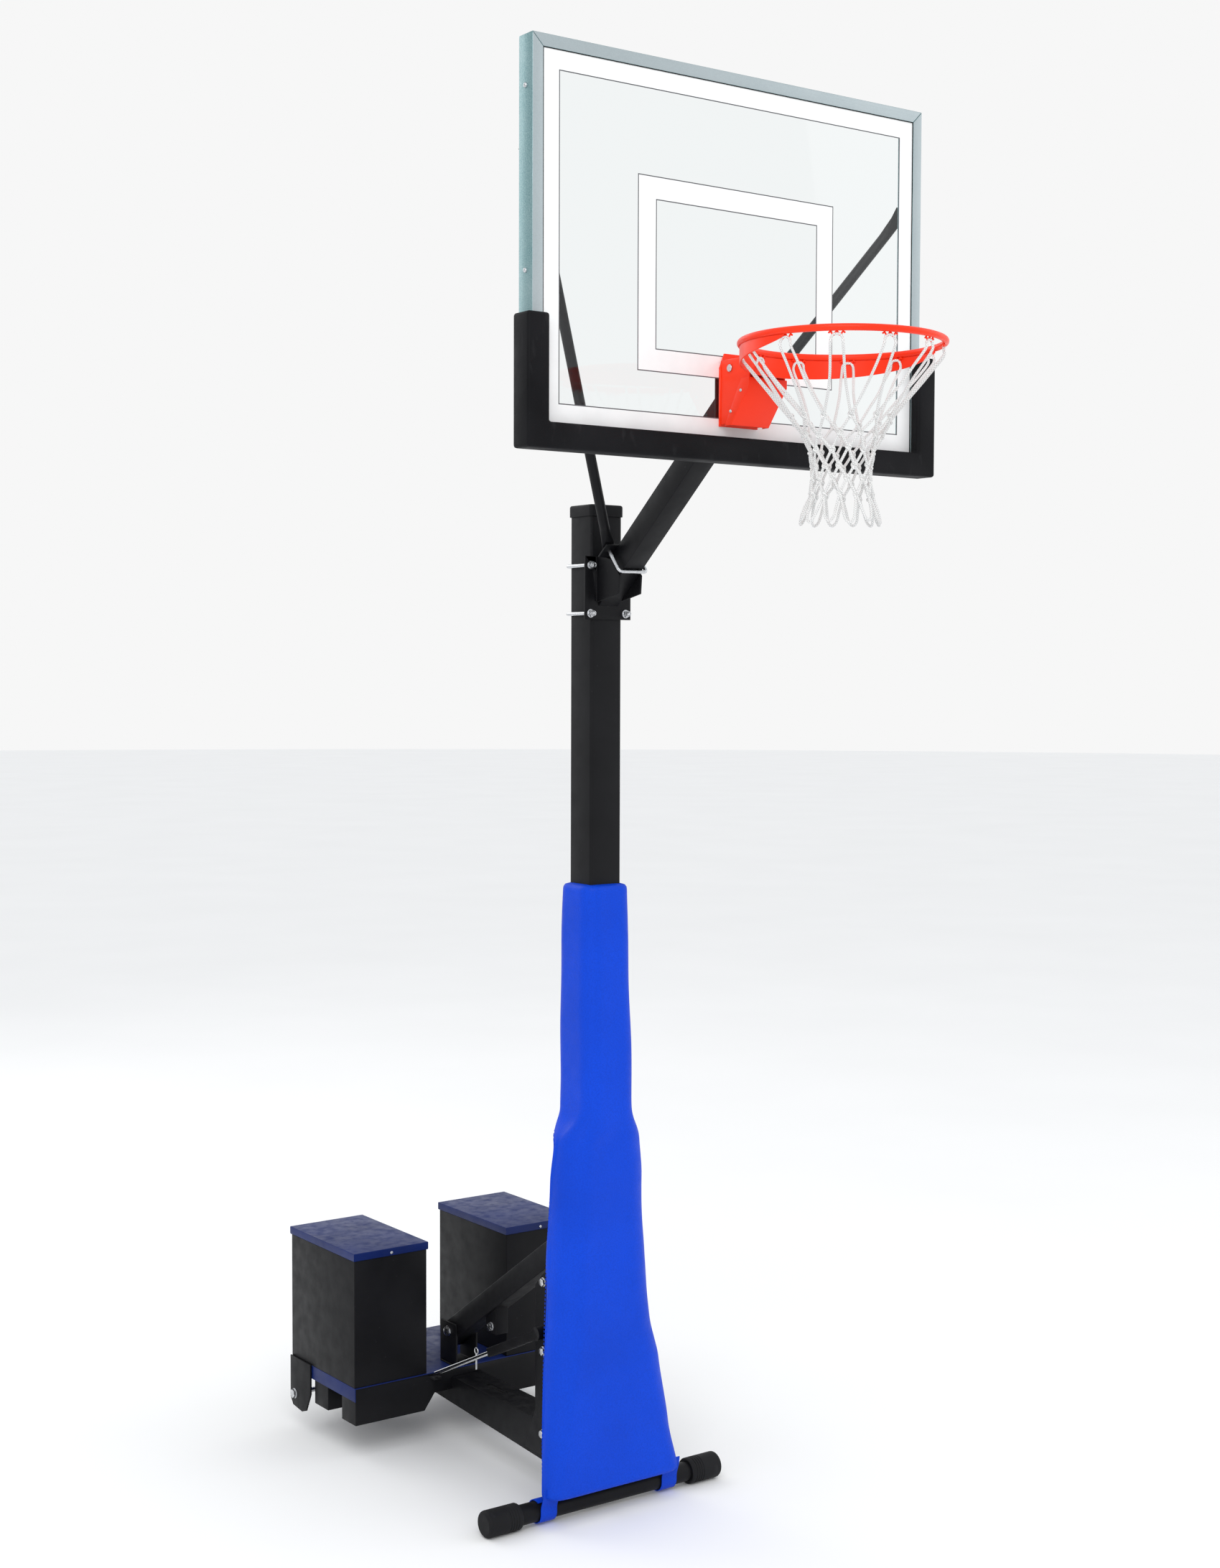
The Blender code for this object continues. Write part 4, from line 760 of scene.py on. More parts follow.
def bead(name: str, path: Sequence[Vector], body: str, size: float = 0.003, closed: bool = False):
    """A rippled weld bead along a seam.

    Args:
        name: the piece's name.
        path: the seam's corners.
        body: the CAD body that it rides on.
        size: the bead's radius.
        closed: whether the seam joins up with itself.
    """
    corners = [Vector(p) for p in path]
    if closed:
        corners.append(corners[0].copy())
    points: list[Vector] = []
    for first, second in zip(corners, corners[1:]):
        steps = max(2, round((second - first).length / 0.0014))
        points += [first.lerp(second, i / steps) for i in range(steps)]
    if not closed:
        points.append(corners[-1])
    count = len(points)

    def section(share: float) -> list[Pair]:
        """The bead's section, which swells with each ripple."""
        ripple = 1.0 + 0.13 * math.sin(share * count * 2 * math.pi / 3.2)
        return ring_points(size * ripple, 8)

    piece(name, swept(points, section, closed), BLACK_COAT, body)


def node_box(node: str) -> tuple[Vector, Vector, Vector]:
    """A CAD node's lowest corner, highest corner and centre."""
    low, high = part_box(node)
    return low, high, (low + high) / 2


def box_mesh(low: Sequence[float], high: Sequence[float], bevel: float = 0.0) -> bmesh.types.BMesh:
    """A box between two corners, its edges rounded.

    Args:
        low: its lowest corner.
        high: its highest corner.
        bevel: how wide the rounding is.

    Returns:
        The mesh.
    """
    mesh = bmesh.new()
    bmesh.ops.create_cube(mesh, size=1.0)
    low, high = Vector(low), Vector(high)
    spread = Matrix.Diagonal((*(high - low), 1.0))
    bmesh.ops.transform(mesh, matrix=Matrix.Translation((low + high) / 2) @ spread, verts=mesh.verts)
    if bevel:
        bmesh.ops.bevel(
            mesh, geom=list(mesh.edges), offset=bevel, segments=3, profile=0.5, affect="EDGES", clamp_overlap=True
        )
    return mesh


@dataclass
class HexBolt:
    """A through-bolt that stands for a CAD bolt: chamfered head, washers, nut and thread end."""

    node: str
    axis: Axis
    radius: float
    corner: float
    height: float
    body: str

    def build(self) -> None:
        """Builds the bolt in its CAD node's place."""
        low, high, centre = node_box(self.node)
        along = self.axis.unit()
        k = self.axis.value
        across = tuple(centre[i] for i in range(3) if i != k)
        start, end = low[k] + 0.0005, high[k]
        near, far = start + self.height, end - 0.003 - self.height
        washer = min(0.0016, self.height * 0.22)
        place = self.axis.place
        parts = [
            hex_prism(-along, place(near - washer, across), self.corner, self.height - washer),
            hex_prism(along, place(far + washer, across), self.corner, self.height - washer),
        ]
        for seat, way in ((near, -1), (far, 1)):
            outer = self.corner * 1.12
            tall = washer - 0.0002
            profile = [
                (self.radius, seat),
                (outer, seat),
                (outer, seat + way * tall * 0.7),
                (outer - 0.0005, seat + way * tall),
                (self.radius, seat + way * tall),
            ]
            parts.append(turned(self.axis, across, profile, 32))
        profile = [(self.radius * 0.99, near), (self.radius * 0.99, far)]
        pitch = 0.0010
        for i in range(max(3, int((end - far) / pitch))):
            at = far + i * pitch
            profile += [(self.radius * 0.99, at + pitch * 0.3), (self.radius * 0.86, at + pitch * 0.8)]
        profile += [(self.radius * 0.6, end), (0.0004, end), (0.0004, near)]
        parts.append(turned(self.axis, across, profile, 24))
        piece(f"{self.node}_fastener", joined(parts), ZINC, self.body, self.node, angle=25)


@dataclass
class PanScrew:
    """A small domed screw head with a round recess, set on a face."""

    name: str
    at: Vector
    out: Vector
    body: str
    radius: float = 0.0045

    def build(self) -> None:
        """Builds the head."""
        out = self.out.normalized()
        side = out.orthogonal().normalized()
        up = out.cross(side)
        steps = 24
        rows = []
        outline = ((1.0, 0.0), (1.0, 0.25), (0.86, 0.52), (0.55, 0.70), (0.30, 0.74), (0.24, 0.42), (0.05, 0.38))
        for r, h in outline:
            ring = []
            for x, y in ring_points(self.radius * r, steps):
                ring.append(self.at + side * x + up * y + out * h * self.radius)
            rows.append(ring)
        piece(self.name, lattice(rows, False, True), ZINC, self.body)


# ------------------------------------------------------------------ sub-assemblies


@dataclass
class Backboard:
    """The clear sheet in its aluminium frame, with its printed lines and its lower pad."""

    border_width: float = 0.045
    line_width: float = 0.0508
    edge_line: float = 0.0026
    target_width: float = 0.6096
    target_height: float = 0.4572
    target_bottom: float = 2.9972
    print_thickness: float = 0.0003
    lip_strip_width: float = 0.0022

    def build(self) -> None:
        """Builds every piece of the backboard."""
        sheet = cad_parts["acrylic_sheet"]
        SHOP.dress(sheet, CLEAR_SHEET)
        for side, finish in (("top", BAR_ACROSS), ("bottom", BAR_ACROSS), ("left", BAR_UP), ("right", BAR_UP)):
            refined(f"frame_{side}", finish, ARM, 0.0016)
        self.lines()
        self.lip_edge_strip()
        self.pad()
        self.screws()

    def loop(self, name: str, outer: tuple[Pair, Pair], width: float, y: Pair, finish: Finish) -> None:
        """A flat rectangular band.

        Args:
            name: the piece's name.
            outer: the (x, z) of its lowest and highest corners.
            width: how wide the band is.
            y: its front and back.
            finish: its finish.
        """
        (x0, z0), (x1, z1) = outer
        rows = []
        for inset, depth in ((0.0, 0), (width, 0), (width, 1), (0.0, 1)):
            a, b, c, d = x0 + inset, z0 + inset, x1 - inset, z1 - inset
            rows.append([Vector((px, y[depth], pz)) for px, pz in ((a, b), (c, b), (c, d), (a, d))])
        piece(name, lattice(rows, True, True), finish, ARM)

    def opening(self) -> tuple[Pair, Pair]:
        """The (x, z) corners of the clear face inside the frame's front lip."""
        low = Vector((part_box("frame_left")[1].x, 0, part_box("frame_bottom")[1].z))
        high = Vector((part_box("frame_right")[0].x, 0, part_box("frame_top")[0].z))
        return (low.x, low.z), (high.x, high.z)

    def lines(self) -> None:
        """Prints the border and the target on the sheet's face."""
        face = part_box("acrylic_sheet")[0].y
        y = (face - self.print_thickness, face - 0.00005)
        low, high = self.opening()
        reach = 0.004
        outer = ((low[0] - reach, low[1] - reach), (high[0] + reach, high[1] + reach))
        self.loop("border_line", outer, self.border_width + reach, y, WHITE_PRINT)
        inset = self.border_width
        inner = ((low[0] + inset, low[1] + inset), (high[0] - inset, high[1] - inset))
        self.loop("border_edge", inner, self.edge_line, y, GREY_PRINT)
        half = self.target_width / 2
        z0 = self.target_bottom
        target = ((-half, z0), (half, z0 + self.target_height))
        self.loop("target_line", target, self.line_width, y, WHITE_PRINT)
        for name, inset in (("outer", -self.edge_line), ("inner", self.line_width)):
            (x0, z0), (x1, z1) = target
            ring = ((x0 + inset, z0 + inset), (x1 - inset, z1 - inset))
            self.loop(f"target_edge_{name}", ring, self.edge_line, y, GREY_PRINT)

    def lip_edge_strip(self) -> None:
        """A thin dark rubber strip between the frame's lip and the sheet, drawn as a dark line round the clear face.
        """
        low, high = self.opening()
        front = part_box("frame_left")[0].y
        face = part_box("acrylic_sheet")[0].y
        reach = 0.0006
        outer = ((low[0] - reach, low[1] - reach), (high[0] + reach, high[1] + reach))
        self.loop("sheet_lip_strip", outer, self.lip_strip_width, (front + 0.0006, face - 0.0004), RUBBER)

    def pad(self) -> None:
        """The moulded pad with its long edges rounded."""
        made = refined("board_pad", FOAM_SKIN, ARM, 0.0075, 0.02)

    def screws(self) -> None:
        """Screws in the frame's outer sides."""
        left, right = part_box("frame_left"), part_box("frame_right")
        y = (left[0].y + left[1].y) / 2
        for index, z in enumerate((3.62, 3.20)):
            PanScrew(f"frame_screw_left_{index}", Vector((left[0].x, y, z)), Vector((-1, 0, 0)), ARM, 0.006).build()
            PanScrew(f"frame_screw_right_{index}", Vector((right[1].x, y, z)), Vector((1, 0, 0)), ARM, 0.006).build()


@dataclass
class Ring:
    """The rim: its ring, brace, hinged plate, housing and spring."""

    rod_radius: float = 0.008
    hooks: int = 12
    hook_wire: float = 0.0021
    brace_steps: int = 96
    brace_depth: float = 0.046
    brace_thickness: float = 0.004
    brace_end: float = -15.0
    centre: Vector = field(default_factory=Vector)
    radius: float = 0.2366

    def build(self) -> None:
        """Builds every piece of the rim."""
        low, high, self.centre = node_box("rim_ring")
        self.radius = (high.x - low.x) / 2 - self.rod_radius
        self.ring()
        self.brace()
        self.net_hooks()
        refined("ring_plate", RIM_COAT, RIM, 0.0012)
        refined("rim_bracket", RIM_COAT, ARM, 0.0012)
        refined("rim_cover", RIM_COAT, ARM, 0.0010)
        self.spring()
        self.fasteners()

    def around(self, degrees: float, radius: float, z: float) -> Vector:
        """A point round the ring's axis.

        Args:
            degrees: its direction, 0 at +X and 90 towards the board.
            radius: its distance from the axis.
            z: its height.

        Returns:
            The point.
        """
        a = math.radians(degrees)
        return Vector((self.centre.x + radius * math.cos(a), self.centre.y + radius * math.sin(a), z))

    def ring(self) -> None:
        """The solid round ring."""
        path = [self.around(360 * i / 160, self.radius, self.centre.z) for i in range(160)]
        piece("rim_ring_bar", rod(path, self.rod_radius, 24, True), RIM_COAT, RIM, "rim_ring")

    def brace(self) -> None:
        """The curved strip under the ring's back half, with rounded lower edge."""
        top = self.centre.z - self.rod_radius - CLEAR
        rows = []
        half = self.brace_thickness / 2
        for i in range(self.brace_steps + 1):
            share = i / self.brace_steps
            angle = self.brace_end + (180 - 2 * self.brace_end) * share
            depth = self.brace_depth * max(math.sin(math.pi * share) ** 0.55, 0.06)
            eased = min(0.0012, depth * 0.3)
            outline = (
                (-half, top),
                (half, top),
                (half, top - depth + eased),
                (half - eased, top - depth),
                (-half + eased, top - depth),
                (-half, top - depth + eased),
            )
            rows.append([self.around(angle, self.radius + r, z) for r, z in outline])
        piece("ring_brace_strip", lattice(rows, False, True), RIM_COAT, RIM, "ring_brace")

    def net_hooks(self) -> None:
        """The bent wire clips under the ring that hold the net's loops."""
        parts = []
        bottom = self.centre.z - self.rod_radius
        for i in range(self.hooks):
            middle = 360 * (i + 0.5) / self.hooks
            path = []
            for step in range(25):
                share = step / 24 * 2 - 1
                wave = math.cos(share * 2.5 * math.pi)
                z = bottom - 0.0045 + 0.0048 * wave * (1 if abs(share) < 0.82 else 0.6)
                path.append(self.around(middle + share * 4.6, self.radius - 0.0042, z))
            parts.append(rod(path, self.hook_wire, 10))
        piece("net_hooks", joined(parts), RIM_COAT, RIM)

    def spring(self) -> None:
        """The compression spring between housing and hinged plate."""
        low, high, middle = node_box("rim_spring")
        wire = 0.0025
        start = Vector((middle.x, high.y - wire, middle.z))
        end = Vector((middle.x, low.y + wire, middle.z))
        radius = (high.x - low.x) / 2 - wire
        coil = rod(helix(start, end, radius, 4, 180), wire, 12)
        spring = piece("rim_spring_coil", coil, ZINC, ARM, "rim_spring")
        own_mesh(spring)

    def fasteners(self) -> None:
        """The hinge pin, the four through-bolts and the cover's side screws."""
        low, high, middle = node_box("rim_hinge_pin")
        across = (middle.y, middle.z)
        r, head = 0.006, 0.009
        step = 0.003
        profile = [
            (0.0005, low.x),
            (head - 0.001, low.x),
            (head, low.x + 0.001),
            (head, low.x + step),
            (r, low.x + step),
            (r, high.x - step),
            (head, high.x - step),
            (head, high.x - 0.001),
            (head - 0.001, high.x),
            (0.0005, high.x),
        ]
        piece("rim_hinge_pin_turned", turned(Axis.X, across, profile, 40), ZINC, ARM, "rim_hinge_pin")
        for number in range(1, 5):
            HexBolt(f"rim_bolt_{number}", Axis.Y, 0.0048, 0.0078, 0.005, ARM).build()
        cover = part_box("rim_cover")
        for sign, x in ((-1, cover[0].x), (1, cover[1].x)):
            for index, (back, up) in enumerate(((0.030, 0.080), (0.068, 0.033))):
                at = Vector((x, cover[0].y + back, cover[0].z + up))
                name = f"cover_screw_{'left' if sign < 0 else 'right'}_{index}"
                PanScrew(name, at, Vector((sign, 0, 0)), ARM, 0.0042).build()


@dataclass
class Net:
    """The knotted net: long loops from the hooks, then diamonds, then hanging loops."""

    ring: Ring
    cord: float = 0.0032
    loop_half_width: float = 0.0125
    rows: tuple[Pair, ...] = (
        (0.116, 0.176),
        (0.091, 0.214),
        (0.077, 0.250),
        (0.069, 0.284),
        (0.067, 0.318),
        (0.073, 0.352),
    )
    hem: Pair = (0.094, 0.412)
    seed: int = 7

    def build(self) -> None:
        """Builds the cords and the knots as one net, and the knots' wraps."""
        chance = random.Random(self.seed)
        count = self.ring.hooks
        step = 360 / count
        top = self.ring.centre.z
        knots: list[list[Vector]] = []
        for level, (radius, drop) in enumerate(self.rows):
            offset = 0.0 if level % 2 == 0 else 0.5
            row = []
            for i in range(count):
                turn = step * (i + offset) + chance.uniform(-2.2, 2.2)
                point = self.ring.around(turn, radius + chance.uniform(-0.003, 0.003), 0)
                point.z = top - drop + chance.uniform(-0.004, 0.004)
                row.append(point)
            knots.append(row)
        parts = [rod(path, self.cord, 8) for path in self.upper_loops(knots[0], chance)]
        for level in range(len(knots) - 1):
            for i in range(count):
                other = (i, i - 1) if level % 2 == 0 else (i, (i + 1) % count)
                for k in other:
                    path = self.strand(knots[level][i], knots[level + 1][k], 0.0022, chance)
                    parts.append(rod(path, self.cord, 8))
        parts += [rod(path, self.cord, 8) for path in self.hem_loops(knots[-1], chance)]
        for row in knots:
            for point in row:
                parts.append(self.knot(point, chance))
        made = piece("knotted_net", joined(parts), NET_CORD, RIM, "net", angle=60)
        log.info("net has %d faces", len(made.data.polygons))

    def strand(self, start: Vector, end: Vector, swell: float, chance: random.Random) -> list[Vector]:
        """A cord between two knots, bowed a little out from the net's axis.

        Args:
            start: the upper knot.
            end: the lower knot.
            swell: how far its middle stands out.
            chance: the net's own random numbers.

        Returns:
            The cord's points.
        """
        out = (start + end) / 2 - self.ring.centre
        out.z = 0
        out = out.normalized() * (swell + chance.uniform(-0.001, 0.001))
        return [start.lerp(end, i / 6) + out * math.sin(math.pi * i / 6) for i in range(7)]

    def upper_loops(self, knots: Sequence[Vector], chance: random.Random) -> list[list[Vector]]:
        """The long loops from each hook down to the first knots on both sides.

        Args:
            knots: the first row of knots.
            chance: the net's own random numbers.

        Returns:
            The loops' points.
        """
        ring = self.ring
        count = ring.hooks
        step = 360 / count
        paths = []
        hang = ring.centre.z - ring.rod_radius - 0.0065
        for i in range(count):
            middle = step * (i + 0.5)
            wide = math.degrees(self.loop_half_width / ring.radius)
            legs = []
            for sign, knot in ((-1, knots[i]), (1, knots[(i + 1) % count])):
                leg = [knot]
                for share, lean in ((0.30, 0.55), (0.55, 0.28), (0.78, 0.10)):
                    at = ring.around(middle + sign * wide * 1.25, ring.radius - 0.004, hang - 0.02)
                    point = knot.lerp(at, share)
                    side = ring.around(middle + sign * wide * 1.3, (point - ring.centre).xy.length, point.z)
                    point = side.lerp(point, lean + 0.2) + Vector((0, 0, chance.uniform(-0.002, 0.002)))
                    leg.append(point)
                leg.append(ring.around(middle + sign * wide * 1.15, ring.radius - 0.0045, hang - 0.020))
                leg.append(ring.around(middle + sign * wide, ring.radius - 0.0042, hang - 0.007))
                legs.append(leg)
            crest = [
                ring.around(middle - wide * 0.6, ring.radius - 0.0042, hang - 0.0008),
                ring.around(middle, ring.radius - 0.0042, hang + 0.0008),
                ring.around(middle + wide * 0.6, ring.radius - 0.0042, hang - 0.0008),
            ]
            paths.append(smoothed(legs[0] + crest + legs[1][::-1], 4))
        return paths

    def hem_loops(self, knots: Sequence[Vector], chance: random.Random) -> list[list[Vector]]:
        """The loops that hang from the last knots.

        Args:
            knots: the last row of knots.
            chance: the net's own random numbers.

        Returns:
            The loops' points.
        """
        radius, drop = self.hem
        paths = []
        count = len(knots)
        for i, first in enumerate(knots):
            second = knots[(i + 1) % count]
            middle = (first + second) / 2 - self.ring.centre
            turn = math.degrees(math.atan2(middle.y, middle.x))
            low = self.ring.centre.z - drop + chance.uniform(-0.008, 0.006)
            out = radius + chance.uniform(-0.006, 0.006)
            spread = 6.5
            path = [
                first,
                self.ring.around(turn - spread * 1.5, (out + 0.075) / 2, (first.z + low) / 2),
                self.ring.around(turn - spread, out - 0.003, low + 0.010),
                self.ring.around(turn, out, low),
                self.ring.around(turn + spread, out - 0.003, low + 0.010),
                self.ring.around(turn + spread * 1.5, (out + 0.075) / 2, (second.z + low) / 2),
                second,
            ]
            paths.append(smoothed(path, 4))
        return paths

    def knot(self, at: Vector, chance: random.Random) -> bmesh.types.BMesh:
        """A wrapped knot where cords meet.

        Args:
            at: the knot's centre.
            chance: the net's own random numbers.

        Returns:
            The knot's mesh.
        """
        out = at - self.ring.centre
        out.z = 0
        out.normalize()
        side = Vector((-out.y, out.x, 0))
        lean = chance.uniform(-0.5, 0.5)
        path = []
        for i in range(22):
            a = 2 * math.pi * i / 22
            x, y = math.cos(a) * 0.0052, math.sin(2 * a) * 0.0028
            z = math.sin(a) * 0.0062 + x * lean * 0.3
            path.append(at + side * x + out * y + Vector((0, 0, z)))
        return rod(path, self.cord * 0.95, 8, True)


def smoothed(points: Sequence[Vector], steps: int) -> list[Vector]:
    """A smooth curve through points (Catmull-Rom).

    Args:
        points: the points to pass through.
        steps: how many steps there are between two of them.

    Returns:
        The curve's points.
    """
    path = []
    last = len(points) - 1
    for i in range(last):
        a, b, c, d = (points[max(0, min(last, k))] for k in (i - 1, i, i + 1, i + 2))
        for j in range(steps):
            t = j / steps
            path.append(
                0.5 * ((2 * b) + (c - a) * t + (2 * a - 5 * b + 4 * c - d) * t**2 + (3 * b - 3 * c + d - a) * t**3)
            )
    path.append(Vector(points[-1]))
    return path


@dataclass
class Boom:
    """The boom, its clamp round the mast, and the stays behind the board."""

    angle: float = 40.3
    half: float = 0.03175
    rod_radius: float = 0.005
    shift: float = 0.0
    foot: Pair = (-0.0566, 2.4956)
    saddle_distance: float = 0.1155

    def build(self) -> None:
        """Builds every piece of the boom."""
        for node in ("boom", "boom_end_plate", "boom_bracket", "saddle_plate"):
            refined(node, BLACK_COAT, ARM, 0.0014)
        for side in ("left", "right"):
            refined(f"board_brace_{side}", BLACK_COAT, ARM, 0.0)
        for level in ("upper", "lower"):
            self.clamp(level)
        self.saddle_bolt()
        self.welds()

    def point(self, along: float, above: float = 0.0, x: float = 0.0) -> Vector:
        """A point by its distance along the boom's centre line and above it."""
        a = math.radians(self.angle)
        y = self.foot[0] + self.shift - along * math.cos(a) + above * math.sin(a)
        return Vector((x, y, self.foot[1] + along * math.sin(a) + above * math.cos(a)))

    def threaded(self, foot: Vector, way: Vector, nut: Pair, end: float) -> list[bmesh.types.BMesh]:
        """A nut, its washer and the thread on one leg of a U-bolt.

        Args:
            foot: where the leg starts.
            way: its direction.
            nut: the nut's start and end along it.
            end: the leg's length.

        Returns:
            The meshes.
        """
        path = [foot + way * (nut[0] - 0.0016), foot + way * (nut[0] - 0.0002)]
        parts = [rod(path, 0.0112, 28), hex_prism(way, foot + way * nut[0], 0.0095, nut[1] - nut[0])]
        turns = max(3, int((end - nut[1] + 0.006) / 0.0012))
        start, stop = foot + way * (nut[1] - 0.006), foot + way * (end - 0.001)
        parts.append(rod(helix(start, stop, self.rod_radius - 0.0001, turns, turns * 10), 0.0005, 6))
        return parts

    def clamp(self, level: str) -> None:
        """A U-bolt round the mast with its nuts on the clamp plate."""
        node = f"clamp_u_bolt_{level}"
        low, high, middle = node_box(node)
        bend = high.y - self.rod_radius
        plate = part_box("boom_bracket")
        leg = 0.0575
        face = bend - (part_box("post")[0].y - CLEAR - 0.006)
        end = bend - low.y
        way = Vector((0, -1, 0))
        corners = [Vector((s * leg, bend - d, middle.z)) for s, d in ((-1, end), (-1, 0), (1, 0), (1, end))]
        parts = [rod(filleted(corners, 0.010), self.rod_radius, 16)]
        for sign in (-1, 1):
            foot = Vector((sign * leg, bend, middle.z))
            parts += self.threaded(foot, way, (face + 0.0018, face + 0.0095), end)
        piece(f"{node}_plated", joined(parts), ZINC, ARM, node, angle=30)
        log.debug("clamp plate reaches %s", plate[1])

    def saddle_bolt(self) -> None:
        """The U-bolt under the boom whose nuts hold the saddle and the stays' feet."""
        below = self.half + CLEAR + self.rod_radius
        leg = self.half + CLEAR + 0.006 + self.rod_radius + 0.001
        a = math.radians(self.angle)
        way = Vector((0, math.sin(a), math.cos(a)))
        nut = below + self.half + 0.006 + 2 * CLEAR + 0.005 + CLEAR
        end = nut + 0.014
        bottom = self.point(self.saddle_distance, -below)
        corners = [bottom + Vector((s * leg, 0, 0)) + way * d for s, d in ((-1, end), (-1, 0), (1, 0), (1, end))]
        parts = [rod(filleted(corners, 0.010), self.rod_radius, 16)]
        for sign in (-1, 1):
            foot = bottom + Vector((sign * leg, 0, 0))
            parts += self.threaded(foot, way, (nut + 0.0016, nut + 0.008), end)
        piece("boom_u_bolt_plated", joined(parts), ZINC, ARM, "boom_u_bolt", angle=30)

    def welds(self) -> None:
        """The weld beads at the boom's end plate and the clamp's gussets."""
        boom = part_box("boom")
        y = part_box("boom_end_plate")[1].y + 0.0012
        upright = self.half / math.cos(math.radians(self.angle))
        along = (self.foot[0] + self.shift - y) / math.cos(math.radians(self.angle))
        z = self.point(along).z
        x = boom[1].x + 0.0008
        square = [(-x, y, z - upright), (x, y, z - upright), (x, y, z + upright), (-x, y, z + upright)]
        bead("weld_end_plate", [Vector(p) for p in square], ARM, 0.0032, True)
        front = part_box("post")[0].y - CLEAR - 0.006 - 0.0014
        low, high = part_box("boom_bracket")[0].z + 0.048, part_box("boom_bracket")[1].z - 0.002
        for sign in (-1, 1):
            x = sign * (self.half + CLEAR + 0.006 + 0.0012)
            bead(f"weld_gusset_{'left' if sign < 0 else 'right'}", [Vector((x, front, low)), Vector((x, front, high))], ARM, 0.0026)


@dataclass
class PadShape:
    """The padded sleeve's outline by height, in the mast's frame."""

    top: float = 1.710
    bottom: float = 0.070
    opens: float = 1.100
    opened: float = 1.000
    thickness: float = 0.024
    seam_gap: float = 0.008
    slack: float = 0.001
    spread: float = 0.008
    forward: float = 0.005
    post_half: float = 0.050
    corner: float = 0.062
    apron: tuple[tuple[float, float, float, float], ...] = (
        (0.00, 0.160, -0.078, 0.058),
        (0.15, 0.143, -0.051, 0.045),
        (0.35, 0.120, -0.0215, 0.034),
        (0.46, 0.101, 0.0025, 0.026),
        (0.65, 0.084, 0.021, 0.018),
        (0.90, 0.077, 0.009, 0.020),
        (1.00, 0.068, 0.006, 0.020),
    )

    def corner_arc(self, centre: Pair, radius: float, start: float) -> list[Pair]:
        """A quarter turn in twelve steps."""
        angles = [math.radians(start + 90 * i / 12) for i in range(13)]
        return [(centre[0] + radius * math.cos(a), centre[1] + radius * math.sin(a)) for a in angles]

    def closed_half(self, half: float, corner: float) -> list[Pair]:
        """The right half of the line where the sleeve closes round the mast."""
        inset = half - corner
        path = [(inset * i / 8, -half) for i in range(8)]
        path += self.corner_arc((inset, -inset), corner, -90)
        path += [(half, -inset + 2 * inset * i / 8) for i in range(1, 8)]
        path += self.corner_arc((inset, inset), corner, 0)
        return path + [(inset + (self.seam_gap / 2 - inset) * i / 8, half) for i in range(1, 9)]

    def open_half(self, width: float, front: float, edge: float, corner: float) -> list[Pair]:
        """The right half of the line where the sleeve is an apron."""
        path = [((width - corner) * i / 8, front) for i in range(8)]
        path += self.corner_arc((width - corner, front + corner), corner, -90)
        start = front + corner
        return path + [(width, start + (edge - start) * i / 28) for i in range(1, 29)]

    def apron_sizes(self, z: float) -> tuple[float, float, float]:
        """The apron's half width, edge and front at one height, eased between its rows."""
        height = max(0.0, min(1.0, (z - self.bottom) / (self.opened - self.bottom)))
        k = max(i for i in range(len(self.apron) - 1) if self.apron[i][0] <= height)
        low, high = self.apron[k], self.apron[k + 1]
        share = (height - low[0]) / (high[0] - low[0])
        share = share * 0.6 + share * share * (3 - 2 * share) * 0.4
        side, edge, ahead = (a + (b - a) * share for a, b in zip(low[1:], high[1:]))
        return self.post_half + side, edge, -self.post_half - ahead

    def half_line(self, z: float, out: float) -> list[Pair]:
        """The right half of the sleeve's line at one height.

        Args:
            z: the height.
            out: 0 for the inner face and 1 for the outer.

        Returns:
            The points from the front's middle to the seam or the edge.
        """
        grown = max(0.0, min(1.0, (self.top - z) / (self.top - self.opens)))
        inside = self.post_half + self.slack + self.spread * grown
        closed = self.closed_half(inside + self.thickness * out, 0.009 + 0.034 * out)
        width, edge, front = self.apron_sizes(z)
        corner = min(self.corner, edge - front - 0.005)
        shift = self.thickness * (out - 0.5)
        opened = self.open_half(width + shift, front - shift, edge, corner + shift)
        share = max(0.0, min(1.0, (self.opens - z) / (self.opens - self.opened)))
        share = share * share * (3 - 2 * share)
        clear = (self.slack + self.thickness) * (0.32 + 0.43 * out)
        line = []
        for (x0, y0), (x1, y1) in zip(closed, opened):
            y0 -= self.forward * grown
            angle = math.atan2(x0, -y0) * (1 - share) + math.atan2(x1, -y1) * share
            radius = math.hypot(x0, y0) * (1 - share**1.5) + math.hypot(x1, y1) * share**1.5
            nearest = (self.post_half + clear) / max(abs(math.sin(angle)), abs(math.cos(angle)))
            if 0 < share < 1:
                radius = max(radius, nearest)
            line.append((radius * math.sin(angle), -radius * math.cos(angle)))
        return line

    def line(self, z: float, out: float) -> list[Pair]:
        """The whole line at one height, from its left edge to its right."""
        right = self.half_line(z, out)
        return [(-x, y) for x, y in reversed(right[1:])] + right


